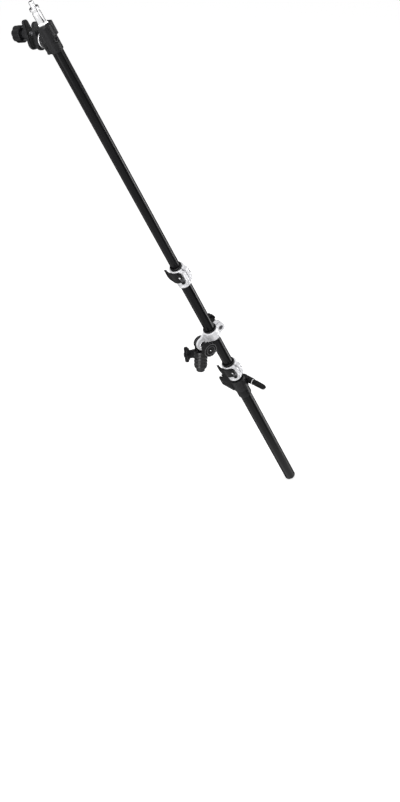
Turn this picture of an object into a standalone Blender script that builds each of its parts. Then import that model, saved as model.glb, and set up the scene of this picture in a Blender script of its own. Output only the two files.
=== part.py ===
"""Telescoping boom that holds a reflector beside a light stand.

Three aluminium tubes slide in each other and are held by flip locks. A cast saddle grips the
middle tube through a sleeve and tilts on a socket adapter that drops over a 16 mm stand spigot.
The upper end carries a 16 mm spigot and a screw clamp, and a split clamp with a rim slot rides
on the lower tube.

Frame: metres, +Z up along the stand socket, origin at the centre of the socket's mouth. The arm
leans towards -X at its upper end. Empties carry the frames that the pieces are drawn in.
"""

import math

import bmesh
import bpy
from mathutils import Matrix, Vector

# Fits
GAP = 0.0003
SLIDE_GAP = 0.0003
HOLE_CLEARANCE = 0.0003

# Steps of edges and joined shapes, and how far a cutter runs past a face
SMALL_STEP = 0.001
OVERLAP = 0.002
CUTTER_MARGIN = 0.005

# Roundness
FINE = 40
MEDIUM = 28
SMALL = 16

# Arm pose and the way it hangs on the adapter
TILT = math.radians(27.5)
ARM_OFFSET = 0.034
ARM_SIDE = 0.008

# Tubes
UPPER_TUBE_DIAMETER = 0.022
MIDDLE_TUBE_DIAMETER = 0.026
LOWER_TUBE_DIAMETER = 0.030
TUBE_WALL = 0.0012
UPPER_TUBE_LENGTH = 0.668
MIDDLE_TUBE_LENGTH = 0.560

# Stations along the arm, from the level of the pivot
LOWER_END_STATION = -0.635
LOWER_CLAMP_STATION = -0.185
LOWER_LOCK_STATION = -0.158
UPPER_LOCK_STATION = 0.186
HEAD_STATION = 0.822

# Turns of the sub-assemblies about the arm's axis
LOCK_ROLL = math.radians(18)
HEAD_ROLL = math.radians(24)
LOWER_CLAMP_ROLL = math.radians(8)
HEAD_CLAMP_TURN = math.radians(17)

# Stand adapter
SOCKET_DIAMETER = 0.0164
SOCKET_DEPTH = 0.055
ADAPTER_ROOF = 0.0035
ADAPTER_DIAMETER = 0.033
ADAPTER_HEIGHT = SOCKET_DEPTH + ADAPTER_ROOF
ADAPTER_NECK_DIAMETER = 0.021
ADAPTER_NECK_HEIGHT = 0.005
ADAPTER_SHOULDER_HEIGHT = 0.011
ADAPTER_RIBS = 4
RIB_PITCH = 0.0095
RIB_GROOVE = 0.0024
RIB_DEPTH = 0.0012
EAR_RADIUS = 0.0165
TONGUE_RADIUS = 0.0175
TONGUE_EXCENTRE = 0.0015
EAR_THICKNESS = 0.009
TONGUE_THICKNESS = 0.0061
FRICTION_DISC_RADIUS = 0.015
FRICTION_DISC_THICKNESS = 0.001
EAR_FACE = 0.0007
PIVOT_CLEARANCE = 0.002
PIVOT_HEIGHT = ADAPTER_HEIGHT + TONGUE_RADIUS + PIVOT_CLEARANCE
CUTTER_REACH = 0.02

# Tilt bolt and knob
BOLT_DIAMETER = 0.008
BOLT_HEAD_RADIUS = 0.0065
BOLT_HEAD_HEIGHT = 0.0045
HEX_SOCKET_RADIUS = 0.0034
HEX_SOCKET_DEPTH = 0.0028
WASHER_THICKNESS = 0.0016
TILT_WASHER_RADIUS = 0.0085
TILT_KNOB_RADIUS = 0.018
TILT_KNOB_HEAD = 0.015
TILT_KNOB_HUB = 0.0165
TILT_KNOB_HUB_RADIUS = 0.0078
TILT_KNOB_LOBES = 11
TILT_KNOB_DEPTH = 0.0018
KNOB_CAP = 0.003

# Socket lock
SOCKET_LOCK_HEIGHT = 0.050
SOCKET_LOCK_AZIMUTH = math.radians(160)
SOCKET_BOSS_RADIUS = 0.0112
SOCKET_BOSS_REACH = 0.0205
LOCK_PAD_RADIUS = 0.0036
LOCK_PAD_LENGTH = 0.003
LOCK_PAD_INSET = 0.0002
LOCK_PAD_TRAVEL = 0.0016
STAR_KNOB_RADIUS = 0.0195
STAR_KNOB_HEAD = 0.0085
STAR_KNOB_HUB = 0.0105
STAR_KNOB_HUB_RADIUS = 0.0105
STAR_KNOB_LOBES = 5
STAR_KNOB_DEPTH = 0.0065

# Saddle
SLEEVE_WALL = 0.0015
SLEEVE_FLANGE_DIAMETER = 0.033
SLEEVE_FLANGE_HEIGHT = 0.0038
SLEEVE_TAIL = 0.002
SADDLE_HEIGHT = 0.026
SADDLE_WALL = 0.0038
SADDLE_SLIT = 0.0032
SADDLE_FAR_EAR = 0.0115
SADDLE_NEAR_EAR = 0.0066
SADDLE_BOLT_SEAT = 0.0032
SADDLE_BOLT_HEAD_RADIUS = 0.0056
SADDLE_EAR_RADIUS = 0.011
SADDLE_BOLT_REACH = 0.0235
SADDLE_BOLT_LEVEL = 0.0125
COLLAR_WASHER_RADIUS = 0.0078
COLLAR_KNOB_RADIUS = 0.0132
COLLAR_KNOB_HEAD = 0.015
COLLAR_KNOB_HUB = 0.018
COLLAR_KNOB_HUB_RADIUS = 0.0075
COLLAR_KNOB_LOBES = 6
COLLAR_KNOB_DEPTH = 0.0028

# Flip locks
LOCK_HEIGHT = 0.052
LOCK_WALL = 0.0042
LOCK_SKIRT_HEIGHT = 0.009
LOCK_SKIRT_WALL = 0.0026
LOCK_TUBE_SEAT = 0.024
LOCK_SLIT = 0.0024
LOCK_SLIT_START = 0.014
INSERT_FLANGE = 0.006
INSERT_FLANGE_WALL = 0.0008
INSERT_TAIL = 0.026
LOCK_BOLT_LEVEL = 0.0345
LOCK_BOLT_DIAMETER = 0.005
LOCK_BOLT_STANDOFF = 0.003
LEVER_CUTTER_REACH = 0.06
LOCK_EAR_A_THICKNESS = 0.0105
LOCK_EAR_B_THICKNESS = 0.0108
LOCK_EAR_OUTER = 0.0058
LOCK_EAR_A_BOTTOM = 0.022
LOCK_EAR_A_TOP = 0.047
LOCK_EAR_B_BOTTOM = 0.016
LOCK_EAR_B_TOP = 0.050
LOCK_NUT_RADIUS = 0.0046
LOCK_NUT_HEIGHT = 0.004
EYE_RADIUS = 0.0042
EYE_HEIGHT = 0.008
LEVER_PIN_RADIUS = 0.002
LEVER_CAM_CLEARANCE = 0.0004
LEVER_CLEARANCE = 0.0009
LEVER_CAM_RADIUS = 0.0048
LEVER_THICKNESS = 0.0042
LEVER_SWELL = 0.45
LEVER_BEND = 0.6
LEVER_BOTTOM = 0.023
LEVER_TOP = 0.0512
LEVER_TIP_BOTTOM = 0.036
WINDOW_ANGLE = math.radians(-132)
WINDOW_WIDTH = 0.009
WINDOW_HEIGHT = 0.0042
WINDOW_LEVEL = 0.0285
LEVER_WRAP = math.radians(112)
LEVER_FLARE = 0.0065
LEVER_STEPS = 14

# Plugs and cap
PLUG_FLANGE = 0.003
PLUG_WALL = 0.002
PLUG_STEM = 0.014
PLUG_STEM_GAP = 0.0003
PLUG_FLANGE_GAP = 0.0002
CAP_WALL = 0.0022
CAP_HEIGHT = 0.018
CAP_STEM_WALL = 0.002

# Head
HEAD_RADIUS = 0.0132
HEAD_CHEEK_HALF_WIDTH = 0.0085
HEAD_CHEEK_REACH = 0.0155
HEAD_CHEEK_TOP = 0.012
HEAD_TUBE_END = -0.007
HEAD_BOTTOM = -0.023
HEAD_TOP = 0.030
HEAD_BOSS_RADIUS = 0.0105
HEAD_BOSS_REACH = 0.0165
HEAD_PAD_REACH = 0.0173
HEAD_PAD_HALF_WIDTH = 0.007
HEAD_PAD_TOP = 0.0275
HEAD_LOBE_RADIUS = 0.0055
HEAD_LOBE_REACH = 0.0135
HEAD_LOBE_HEIGHT = 0.0115
SPIGOT_DIAMETER = 0.016
SPIGOT_BODY = 0.024
SPIGOT_GROOVE_DIAMETER = 0.0132
SPIGOT_GROOVE = 0.006
SPIGOT_SHOULDER_DIAMETER = 0.0178
SPIGOT_SHOULDER = 0.004
SPIGOT_THREAD_DIAMETER = 0.0093
SPIGOT_THREAD = 0.0115
SPIGOT_SHANK_DIAMETER = 0.010
SPIGOT_SHANK = 0.017
SPIGOT_HEX_RADIUS = 0.0098
SPIGOT_HEX = 0.005
SET_SCREW_DIAMETER = 0.006
SPIGOT_SCREW_LEVEL = 0.021
TUBE_SCREW_LEVEL = -0.0168

# Head clamp
HEAD_WASHER_RADIUS = 0.0145
HEAD_WASHER_THICKNESS = 0.002
HEAD_BEVEL = 0.002
HEAD_BOLT_GRIP = 0.002
JAW_HUB_RADIUS = 0.012
JAW_HUB = 0.0065
JAW_PLATE = 0.006
JAW_LOW_RADIUS = 0.011
FIXED_JAW_TOP_RADIUS = 0.0075
FIXED_JAW_UP = 0.032
FIXED_JAW_DOWN = 0.018
MOVING_JAW_TOP_RADIUS = 0.0058
MOVING_JAW_UP = 0.037
MOVING_JAW_DOWN = 0.016
MOVING_JAW_TILT = math.radians(8)
MOVING_JAW_BOSS = 0.0075
MOVING_JAW_BOSS_RADIUS = 0.0095
PAD_THICKNESS = 0.002
PAD_MARGIN = 0.002
JAW_GAP = 0.010
JAW_CLOSING = 0.005
JAW_OPENING = 0.003
HEAD_KNOB_WASHER_RADIUS = 0.008
HEAD_KNOB_RADIUS = 0.0152
HEAD_KNOB_HEIGHT = 0.020
HEAD_KNOB_LOBES = 7
HEAD_KNOB_DEPTH = 0.0013
HEAD_KNOB_ROOF = 0.003
HEAD_KNOB_SHOULDER = 0.005
HEAD_BOLT_HEAD_RADIUS = 0.006
HEAD_BOLT_HEAD_HEIGHT = 0.0032
HEAD_BOLT_SEAT = -0.0095
CLAMP_STUD_LEVEL = 0.0125
GUIDE_PIN_RADIUS = 0.002
GUIDE_PIN_LEVEL = -0.0108

# Lower clamp
LINER_WALL = 0.0012
LINER_TAIL = 0.027
LINER_TAIL_WALL = 0.0024
CLAMP_WALL = 0.003
CLAMP_HALF_HEIGHT = 0.020
CLAMP_SLIT = 0.003
CLAMP_BOLT_REACH = 0.0238
CLAMP_BOLT_LEVEL = -0.0115
CLAMP_EAR_RADIUS = 0.0083
CLAMP_NEAR_EAR = 0.0235
CLAMP_FAR_EAR = 0.0095
CLAMP_NUT_RADIUS = 0.0072
CLAMP_NUT_HEIGHT = 0.0055
CLAMP_WASHER_RADIUS = 0.0085
CLAMP_WASHER_THICKNESS = 0.0022
CLAMP_HUB_RADIUS = 0.0068
CLAMP_HUB = 0.006
CLAMP_HANDLE_LENGTH = 0.040
CLAMP_HANDLE_WIDTH = 0.015
CLAMP_HANDLE_THICKNESS = 0.0098
CLAMP_ARM_WIDTH = 0.018
CLAMP_ARM_CENTRE = -0.014
CLAMP_ARM_REACH = 0.050
CLAMP_ARM_HALF_HEIGHT = 0.013
RIM_SLOT_WIDTH = 0.0056
RIM_SLOT_DEPTH = 0.010
RIM_LINER_WALL = 0.0012

ALUMINIUM = ("aluminium", (0.62, 0.62, 0.63), 0.32, 1.0)
BLACK_PAINT = ("black_paint", (0.020, 0.020, 0.022), 0.42, 0.0)
BLACK_TUBE = ("black_tube", (0.013, 0.013, 0.015), 0.30, 0.35)
BLACK_PLASTIC = ("black_plastic", (0.024, 0.024, 0.026), 0.55, 0.0)
STEEL = ("steel", (0.55, 0.55, 0.56), 0.28, 1.0)
DARK_STEEL = ("dark_steel", (0.06, 0.06, 0.065), 0.45, 0.8)
BRASS = ("brass", (0.62, 0.43, 0.17), 0.35, 1.0)
RUBBER = ("rubber", (0.015, 0.015, 0.015), 0.85, 0.0)


def material(finish):
    """The Principled BSDF material of a finish, made once."""
    name, colour, roughness, metallic = finish
    found = bpy.data.materials.get(name)
    if found:
        return found
    made = bpy.data.materials.new(name)
    made.use_nodes = True
    shader = made.node_tree.nodes["Principled BSDF"]
    shader.inputs["Base Color"].default_value = (*colour, 1)
    shader.inputs["Roughness"].default_value = roughness
    shader.inputs["Metallic"].default_value = metallic
    return made


def frame(name, parent=None, location=(0, 0, 0), rotation=(0, 0, 0)):
    """An empty that pieces are drawn in."""
    empty = bpy.data.objects.new(name, None)
    empty.empty_display_size = 0.01
    empty.location = location
    empty.rotation_euler = rotation
    empty.parent = parent
    bpy.context.scene.collection.objects.link(empty)
    return empty


def finished(bm):
    """The bmesh with doubles merged and faces turned outwards."""
    bmesh.ops.remove_doubles(bm, verts=bm.verts, dist=1e-7)
    bmesh.ops.recalc_face_normals(bm, faces=bm.faces)
    return bm


def turned(outline, segments=FINE):
    """A solid of revolution about Z from a closed outline of (radius, height) points."""
    bm = bmesh.new()
    points = [bm.verts.new((radius, 0, height)) for radius, height in outline]
    edges = []
    for first, second in zip(points, points[1:] + points[:1]):
        if first.co.x > 0 or second.co.x > 0:
            edges.append(bm.edges.new((first, second)))
    bmesh.ops.spin(
        bm,
        geom=points + edges,
        axis=(0, 0, 1),
        cent=(0, 0, 0),
        angle=2 * math.pi,
        steps=segments,
        use_merge=True,
    )
    return finished(bm)


def cylinder(radius, bottom, top, segments=MEDIUM):
    return turned([(0, bottom), (radius, bottom), (radius, top), (0, top)], segments)


def ring(inner, outer, bottom, top, segments=FINE):
    return turned([(inner, bottom), (outer, bottom), (outer, top), (inner, top)], segments)


def extruded(outline, bottom, top):
    """A prism along Z from a closed outline of (x, y) points."""
    bm = bmesh.new()
    face = bm.faces.new([bm.verts.new((x, y, bottom)) for x, y in outline])
    made = bmesh.ops.extrude_face_region(bm, geom=[face])
    moved = [item for item in made["geom"] if isinstance(item, bmesh.types.BMVert)]
    bmesh.ops.translate(bm, verts=moved, vec=(0, 0, top - bottom))
    return finished(bm)


def block(low, high):
    """A box from its lowest to its highest corner."""
    outline = [(low[0], low[1]), (high[0], low[1]), (high[0], high[1]), (low[0], high[1])]
    return extruded(outline, low[2], high[2])


def hexagon(radius, bottom, top):
    return extruded(arc((0, 0), radius, 0, 2 * math.pi, 6)[:-1], bottom, top)


def arc(centre, radius, start, end, steps):
    """Points of an arc about a centre, both ends included."""
    angles = [start + (end - start) * step / steps for step in range(steps + 1)]
    return [(centre[0] + radius * math.cos(a), centre[1] + radius * math.sin(a)) for a in angles]


def lobed(radius, lobes, depth, levels, segments_per_lobe=6):
    """A knob about Z: a lobed outline repeated at (height, inset) levels and closed at both ends."""
    count = lobes * segments_per_lobe
    bm = bmesh.new()
    rings = []
    for height, inset in levels:
        points = []
        for step in range(count):
            angle = 2 * math.pi * step / count
            reach = radius - inset - depth * (0.5 - 0.5 * math.cos(lobes * angle)) ** 2
            points.append(bm.verts.new((reach * math.cos(angle), reach * math.sin(angle), height)))
        rings.append(points)
    for lower, upper in zip(rings, rings[1:]):
        for step in range(count):
            after = (step + 1) % count
            bm.faces.new((lower[step], lower[after], upper[after], upper[step]))
    bm.faces.new(rings[0][::-1])
    bm.faces.new(rings[-1])
    return finished(bm)


def oriented(bm, matrix):
    """The bmesh moved by a matrix."""
    bmesh.ops.transform(bm, matrix=matrix, verts=bm.verts)
    return bm


def along(direction, point=(0, 0, 0)):
    """The matrix that stands a piece drawn along Z along a direction, from a point."""
    turn = Vector(direction).to_track_quat("Z", "Y").to_matrix().to_4x4()
    return Matrix.Translation(point) @ turn


def link(name, bm, parent):
    mesh = bpy.data.meshes.new(name)
    bm.to_mesh(mesh)
    bm.free()
    made = bpy.data.objects.new(name, mesh)
    made.parent = parent
    bpy.context.scene.collection.objects.link(made)
    return made


def tool(name, bm, parent):
    """A hidden mesh for a Boolean."""
    made = link(name, bm, parent)
    made.hide_render = True
    made.display_type = "WIRE"
    return made


def piece(name, bm, parent, finish, add=(), cut=()):
    """A named sub-part in its frame, with shapes joined to it and then cut from it."""
    made = link(name, bm, parent)
    made.data.materials.append(material(finish))
    made.data.shade_smooth()
    made.data.set_sharp_from_angle(angle=math.radians(35))
    jobs = [("UNION", shape) for shape in add] + [("DIFFERENCE", shape) for shape in cut]
    for number, (operation, shape) in enumerate(jobs):
        modifier = made.modifiers.new(f"{operation.lower()}_{number}", "BOOLEAN")
        modifier.operation = operation
        modifier.solver = "EXACT"
        modifier.object = tool(f"{name}.tool_{number}", shape, parent)
    return made


def bolt(radius, head_radius, head_height, length, socket=True):
    """A bolt along Z: its head's seat at 0, the head below and the shaft above."""
    shape = turned(
        [
            (0, -head_height),
            (head_radius, -head_height),
            (head_radius, 0),
            (radius, 0),
            (radius, length),
            (0, length),
        ],
        MEDIUM,
    )
    recess = hexagon(HEX_SOCKET_RADIUS, -head_height - GAP, HEX_SOCKET_DEPTH - head_height)
    return (shape, [recess]) if socket else (shape, [])


def nut_bore(length):
    """The blind bore of a knob, for a bolt that reaches this far into it."""
    return cylinder(BOLT_DIAMETER / 2 + HOLE_CLEARANCE, -GAP, length + GAP, SMALL)


def hubbed_knob(radius, lobes, depth, head, hub, hub_radius):
    """A knob along Z that stands on its hub: hub first, then a lobed head with soft edges."""
    edge = min(0.0015, head / 4)
    levels = [
        (hub, edge),
        (hub + edge, 0),
        (hub + head - 1.5 * edge, 0),
        (hub + head - 0.4 * edge, 0.7 * edge),
        (hub + head, 2 * edge),
    ]
    body = lobed(radius, lobes, depth, levels)
    neck = turned([(0, 0), (hub_radius, 0), (hub_radius * 1.12, hub + edge), (0, hub + edge)], MEDIUM)
    return body, neck


def build_adapter(root):
    """Socket adapter with its ribs, neck, boss for the lock screw and pivot ear."""
    outer = ADAPTER_DIAMETER / 2
    neck = ADAPTER_NECK_DIAMETER / 2
    outline = [(SOCKET_DIAMETER / 2, 0), (neck, 0), (neck, ADAPTER_NECK_HEIGHT)]
    outline.append((outer - RIB_DEPTH, ADAPTER_SHOULDER_HEIGHT))
    level = ADAPTER_SHOULDER_HEIGHT + RIB_GROOVE
    for _ in range(ADAPTER_RIBS):
        outline += [(outer - RIB_DEPTH, level), (outer, level + RIB_GROOVE / 3)]
        level += RIB_PITCH - RIB_GROOVE
        outline += [(outer, level - RIB_GROOVE / 3), (outer - RIB_DEPTH, level)]
        level += RIB_GROOVE
    outline += [(outer - RIB_DEPTH, level), (outer, level + RIB_GROOVE / 3), (outer, ADAPTER_HEIGHT)]
    outline += [(0, ADAPTER_HEIGHT), (0, SOCKET_DEPTH), (SOCKET_DIAMETER / 2, SOCKET_DEPTH)]
    ear = oriented(
        cylinder(EAR_RADIUS, EAR_FACE, EAR_FACE + EAR_THICKNESS, FINE),
        Matrix.Translation((0, 0, PIVOT_HEIGHT)) @ along((0, 1, 0)),
    )
    half = outer * math.cos(math.asin((EAR_FACE + EAR_THICKNESS) / outer)) - 0.0005
    web = block(
        (-half, EAR_FACE, SOCKET_DEPTH + 0.0005), (half, EAR_FACE + EAR_THICKNESS, PIVOT_HEIGHT)
    )
    pivot_hole = oriented(
        cylinder(BOLT_DIAMETER / 2 + HOLE_CLEARANCE, -CUTTER_REACH, CUTTER_REACH, SMALL),
        Matrix.Translation((0, 0, PIVOT_HEIGHT)) @ along((0, 1, 0)),
    )
    screw_way = along(lock_direction(), (0, 0, SOCKET_LOCK_HEIGHT))
    start = SOCKET_DIAMETER / 2
    boss = oriented(cylinder(SOCKET_BOSS_RADIUS, start + OVERLAP, SOCKET_BOSS_REACH), screw_way)
    screw_hole = oriented(
        cylinder(BOLT_DIAMETER / 2 + HOLE_CLEARANCE, start - 0.003, SOCKET_BOSS_REACH + OVERLAP, SMALL),
        screw_way,
    )
    piece(
        "adapter_body",
        turned(outline),
        root,
        BLACK_PAINT,
        add=[web, ear, boss],
        cut=[pivot_hole, screw_hole],
    )


def lock_direction():
    """The way that the socket's lock screw points out of the adapter."""
    return (math.cos(SOCKET_LOCK_AZIMUTH), math.sin(SOCKET_LOCK_AZIMUTH), 0)


def build_socket_lock(root):
    """Brass pad, screw and star knob that hold the stand's spigot."""
    pad_start = SOCKET_DIAMETER / 2 + LOCK_PAD_INSET
    pad_end = pad_start + LOCK_PAD_LENGTH
    pad_frame = frame("socket_pad_frame", root, (0, 0, SOCKET_LOCK_HEIGHT))
    piece(
        "socket_lock_pad",
        oriented(cylinder(LOCK_PAD_RADIUS, pad_start, pad_end, SMALL), along(lock_direction())),
        pad_frame,
        BRASS,
    )
    screw_start = pad_end + LOCK_PAD_TRAVEL + GAP
    knob_start = SOCKET_BOSS_REACH + GAP
    screw_end = knob_start + STAR_KNOB_HUB + STAR_KNOB_HEAD - KNOB_CAP
    knob_frame = frame("socket_knob_frame", root, (0, 0, SOCKET_LOCK_HEIGHT))
    stem = LOCK_PAD_RADIUS * 0.6
    screw = turned(
        [
            (0, pad_end + GAP),
            (stem, pad_end + GAP),
            (stem, screw_start),
            (BOLT_DIAMETER / 2, screw_start),
            (BOLT_DIAMETER / 2, screw_end),
            (0, screw_end),
        ],
        SMALL,
    )
    piece("socket_lock_screw", oriented(screw, along(lock_direction())), knob_frame, STEEL)
    place = along(lock_direction(), Vector(lock_direction()) * knob_start)
    head, hub = hubbed_knob(
        STAR_KNOB_RADIUS,
        STAR_KNOB_LOBES,
        STAR_KNOB_DEPTH,
        STAR_KNOB_HEAD,
        STAR_KNOB_HUB,
        STAR_KNOB_HUB_RADIUS,
    )
    piece(
        "socket_lock_knob",
        oriented(head, place),
        knob_frame,
        BLACK_PLASTIC,
        add=[oriented(hub, place)],
        cut=[oriented(nut_bore(screw_end - knob_start), place)],
    )


def build_pivot(root):
    """Tilt bolt, friction disc, washer and tilt knob on the adapter."""
    pivot = frame("pivot_frame", root, (0, 0, PIVOT_HEIGHT))
    hole = BOLT_DIAMETER / 2 + HOLE_CLEARANCE
    disc_face = EAR_FACE - GAP - FRICTION_DISC_THICKNESS
    tongue_face = disc_face - GAP - TONGUE_THICKNESS
    washer_face = tongue_face - GAP - WASHER_THICKNESS
    knob_seat = washer_face - GAP
    back = EAR_FACE + EAR_THICKNESS + GAP
    knob_length = TILT_KNOB_HUB + TILT_KNOB_HEAD
    shaft = back - knob_seat + knob_length - KNOB_CAP
    shape, recess = bolt(BOLT_DIAMETER / 2, BOLT_HEAD_RADIUS, BOLT_HEAD_HEIGHT, shaft)
    way = along((0, -1, 0), (0, back, 0))
    piece(
        "pivot_bolt",
        oriented(shape, way),
        pivot,
        DARK_STEEL,
        cut=[oriented(item, way) for item in recess],
    )
    flat = along((0, 1, 0))
    disc = ring(hole, FRICTION_DISC_RADIUS, disc_face, disc_face + FRICTION_DISC_THICKNESS, MEDIUM)
    piece("friction_disc", oriented(disc, flat), pivot, DARK_STEEL)
    washer = ring(hole, TILT_WASHER_RADIUS, washer_face, washer_face + WASHER_THICKNESS, MEDIUM)
    piece("tilt_washer", oriented(washer, flat), pivot, STEEL)
    knob_way = along((0, -1, 0), (0, knob_seat, 0))
    head, hub = hubbed_knob(
        TILT_KNOB_RADIUS,
        TILT_KNOB_LOBES,
        TILT_KNOB_DEPTH,
        TILT_KNOB_HEAD,
        TILT_KNOB_HUB,
        TILT_KNOB_HUB_RADIUS,
    )
    knob_frame = frame("tilt_knob_frame", root, (0, 0, PIVOT_HEIGHT))
    piece(
        "tilt_knob",
        oriented(head, knob_way),
        knob_frame,
        BLACK_PLASTIC,
        add=[oriented(hub, knob_way)],
        cut=[oriented(nut_bore(knob_length - KNOB_CAP), knob_way)],
    )
    return tongue_face


def build_saddle(arm, tongue_face):
    """Split collar with its pivot tongue, and the bolt and knob that close it."""
    bore = MIDDLE_TUBE_DIAMETER / 2 + SLIDE_GAP + SLEEVE_WALL + GAP
    outer = bore + SADDLE_WALL
    low = tongue_face + ARM_SIDE
    high = low + TONGUE_THICKNESS
    upright = along((0, 1, 0))
    disc = oriented(
        cylinder(TONGUE_RADIUS, low, high, FINE),
        Matrix.Translation((TONGUE_EXCENTRE - ARM_OFFSET, 0, 0)) @ upright,
    )
    root_x = -(bore + SADDLE_WALL * 0.45)
    bridge = extruded(
        [
            (TONGUE_EXCENTRE - ARM_OFFSET, -TONGUE_RADIUS * 0.97),
            (root_x, -SADDLE_HEIGHT * 0.97),
            (root_x, -0.001),
            (TONGUE_EXCENTRE - ARM_OFFSET, TONGUE_RADIUS * 0.4),
        ],
        low + 0.0003,
        high - 0.0003,
    )
    bridge = oriented(bridge, along_y())
    pivot_hole = oriented(
        cylinder(BOLT_DIAMETER / 2 + HOLE_CLEARANCE, low - 0.003, high + 0.003, SMALL),
        Matrix.Translation((-ARM_OFFSET, 0, 0)) @ upright,
    )
    near_face = -SADDLE_SLIT / 2 - SADDLE_NEAR_EAR
    far_face = SADDLE_SLIT / 2 + SADDLE_FAR_EAR
    bolt_place = Matrix.Translation((SADDLE_BOLT_REACH, 0, SADDLE_BOLT_LEVEL)) @ upright
    ear = oriented(cylinder(SADDLE_EAR_RADIUS, near_face, far_face), bolt_place)
    reach = SADDLE_EAR_RADIUS
    gusset = [
        (bore + SMALL_STEP, -0.0015),
        (bore + SADDLE_WALL + SMALL_STEP, -0.0015),
        (SADDLE_BOLT_REACH + reach * 0.85, -SADDLE_BOLT_LEVEL + reach * 0.5),
        (SADDLE_BOLT_REACH, -SADDLE_BOLT_LEVEL - reach * 0.9),
        (bore + SMALL_STEP, -SADDLE_BOLT_LEVEL - reach * 0.9),
    ]
    gusset = oriented(extruded(gusset, near_face + 0.0004, far_face - 0.0004), along_y())
    seat = near_face + SADDLE_BOLT_SEAT
    recess_radius = SADDLE_BOLT_HEAD_RADIUS + HOLE_CLEARANCE
    counterbore = oriented(cylinder(recess_radius, near_face - 0.003, seat), bolt_place)
    slit = block(
        (bore - OVERLAP, -SADDLE_SLIT / 2, -0.005),
        (
            SADDLE_BOLT_REACH + SADDLE_EAR_RADIUS + CUTTER_MARGIN,
            SADDLE_SLIT / 2,
            SADDLE_HEIGHT + CUTTER_MARGIN,
        ),
    )
    bolt_hole = oriented(
        cylinder(BOLT_DIAMETER / 2 + HOLE_CLEARANCE, -0.03, 0.03, SMALL), bolt_place
    )
    chamfer = 0.0012
    collar = turned(
        [
            (0, 0),
            (outer - chamfer, 0),
            (outer, chamfer),
            (outer, SADDLE_HEIGHT - chamfer),
            (outer - chamfer, SADDLE_HEIGHT),
            (0, SADDLE_HEIGHT),
        ]
    )
    tube_way = cylinder(bore, -0.01, SADDLE_HEIGHT + 0.01, FINE)
    piece(
        "clamp_saddle",
        collar,
        arm,
        ALUMINIUM,
        add=[bridge, disc, gusset, ear],
        cut=[pivot_hole, bolt_hole, counterbore, slit, tube_way],
    )
    hole = BOLT_DIAMETER / 2 + HOLE_CLEARANCE
    knob_seat = far_face + GAP + WASHER_THICKNESS + GAP
    knob_length = COLLAR_KNOB_HUB + COLLAR_KNOB_HEAD
    head_seat = seat - GAP
    shaft = knob_seat - head_seat + knob_length - KNOB_CAP
    shape, recess = bolt(BOLT_DIAMETER / 2, SADDLE_BOLT_HEAD_RADIUS, SADDLE_BOLT_SEAT, shaft)
    bolt_way = bolt_place @ Matrix.Translation((0, 0, head_seat))
    piece(
        "collar_bolt",
        oriented(shape, bolt_way),
        arm,
        DARK_STEEL,
        cut=[oriented(item, bolt_way) for item in recess],
    )
    washer_seat = far_face + GAP
    washer = ring(hole, COLLAR_WASHER_RADIUS, washer_seat, washer_seat + WASHER_THICKNESS, MEDIUM)
    piece("collar_washer", oriented(washer, bolt_place), arm, STEEL)
    knob_frame = frame("collar_knob_frame", arm, (SADDLE_BOLT_REACH, 0, SADDLE_BOLT_LEVEL))
    knob_way = along((0, 1, 0), (0, knob_seat, 0))
    head, hub = hubbed_knob(
        COLLAR_KNOB_RADIUS,
        COLLAR_KNOB_LOBES,
        COLLAR_KNOB_DEPTH,
        COLLAR_KNOB_HEAD,
        COLLAR_KNOB_HUB,
        COLLAR_KNOB_HUB_RADIUS,
    )
    piece(
        "collar_knob",
        oriented(head, knob_way),
        knob_frame,
        BLACK_PLASTIC,
        add=[oriented(hub, knob_way)],
        cut=[oriented(nut_bore(knob_length - KNOB_CAP), knob_way)],
    )
    inner = MIDDLE_TUBE_DIAMETER / 2 + SLIDE_GAP
    sleeve = turned(
        [
            (inner, -SLEEVE_TAIL),
            (inner + SLEEVE_WALL, -SLEEVE_TAIL),
            (inner + SLEEVE_WALL, SADDLE_HEIGHT + GAP),
            (SLEEVE_FLANGE_DIAMETER / 2, SADDLE_HEIGHT + GAP),
            (SLEEVE_FLANGE_DIAMETER / 2, SADDLE_HEIGHT + GAP + SLEEVE_FLANGE_HEIGHT * 0.7),
            (SLEEVE_FLANGE_DIAMETER / 2 - SMALL_STEP, SADDLE_HEIGHT + GAP + SLEEVE_FLANGE_HEIGHT),
            (inner, SADDLE_HEIGHT + GAP + SLEEVE_FLANGE_HEIGHT),
        ]
    )
    piece("boom_sleeve", sleeve, arm, BLACK_PLASTIC)


def build_tube(name, parent, diameter, bottom, top):
    """A straight tube along the arm."""
    shape = ring(diameter / 2 - TUBE_WALL, diameter / 2, bottom, top)
    piece(name, shape, parent, BLACK_TUBE)


def build_plug(name, parent, outer_bore, inner_bore, tube_end):
    """The guide plug in a tube's lower end: a flange that runs in the next tube, and a stem."""
    flange = outer_bore / 2 - PLUG_FLANGE_GAP
    stem = inner_bore / 2 - PLUG_STEM_GAP
    foot = tube_end - GAP
    outline = [
        (stem - PLUG_WALL, foot - PLUG_FLANGE),
        (flange, foot - PLUG_FLANGE),
        (flange, foot),
        (stem, foot),
        (stem, foot + PLUG_STEM),
        (stem - PLUG_WALL, foot + PLUG_STEM),
    ]
    piece(name, turned(outline), parent, BLACK_PLASTIC)


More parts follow.
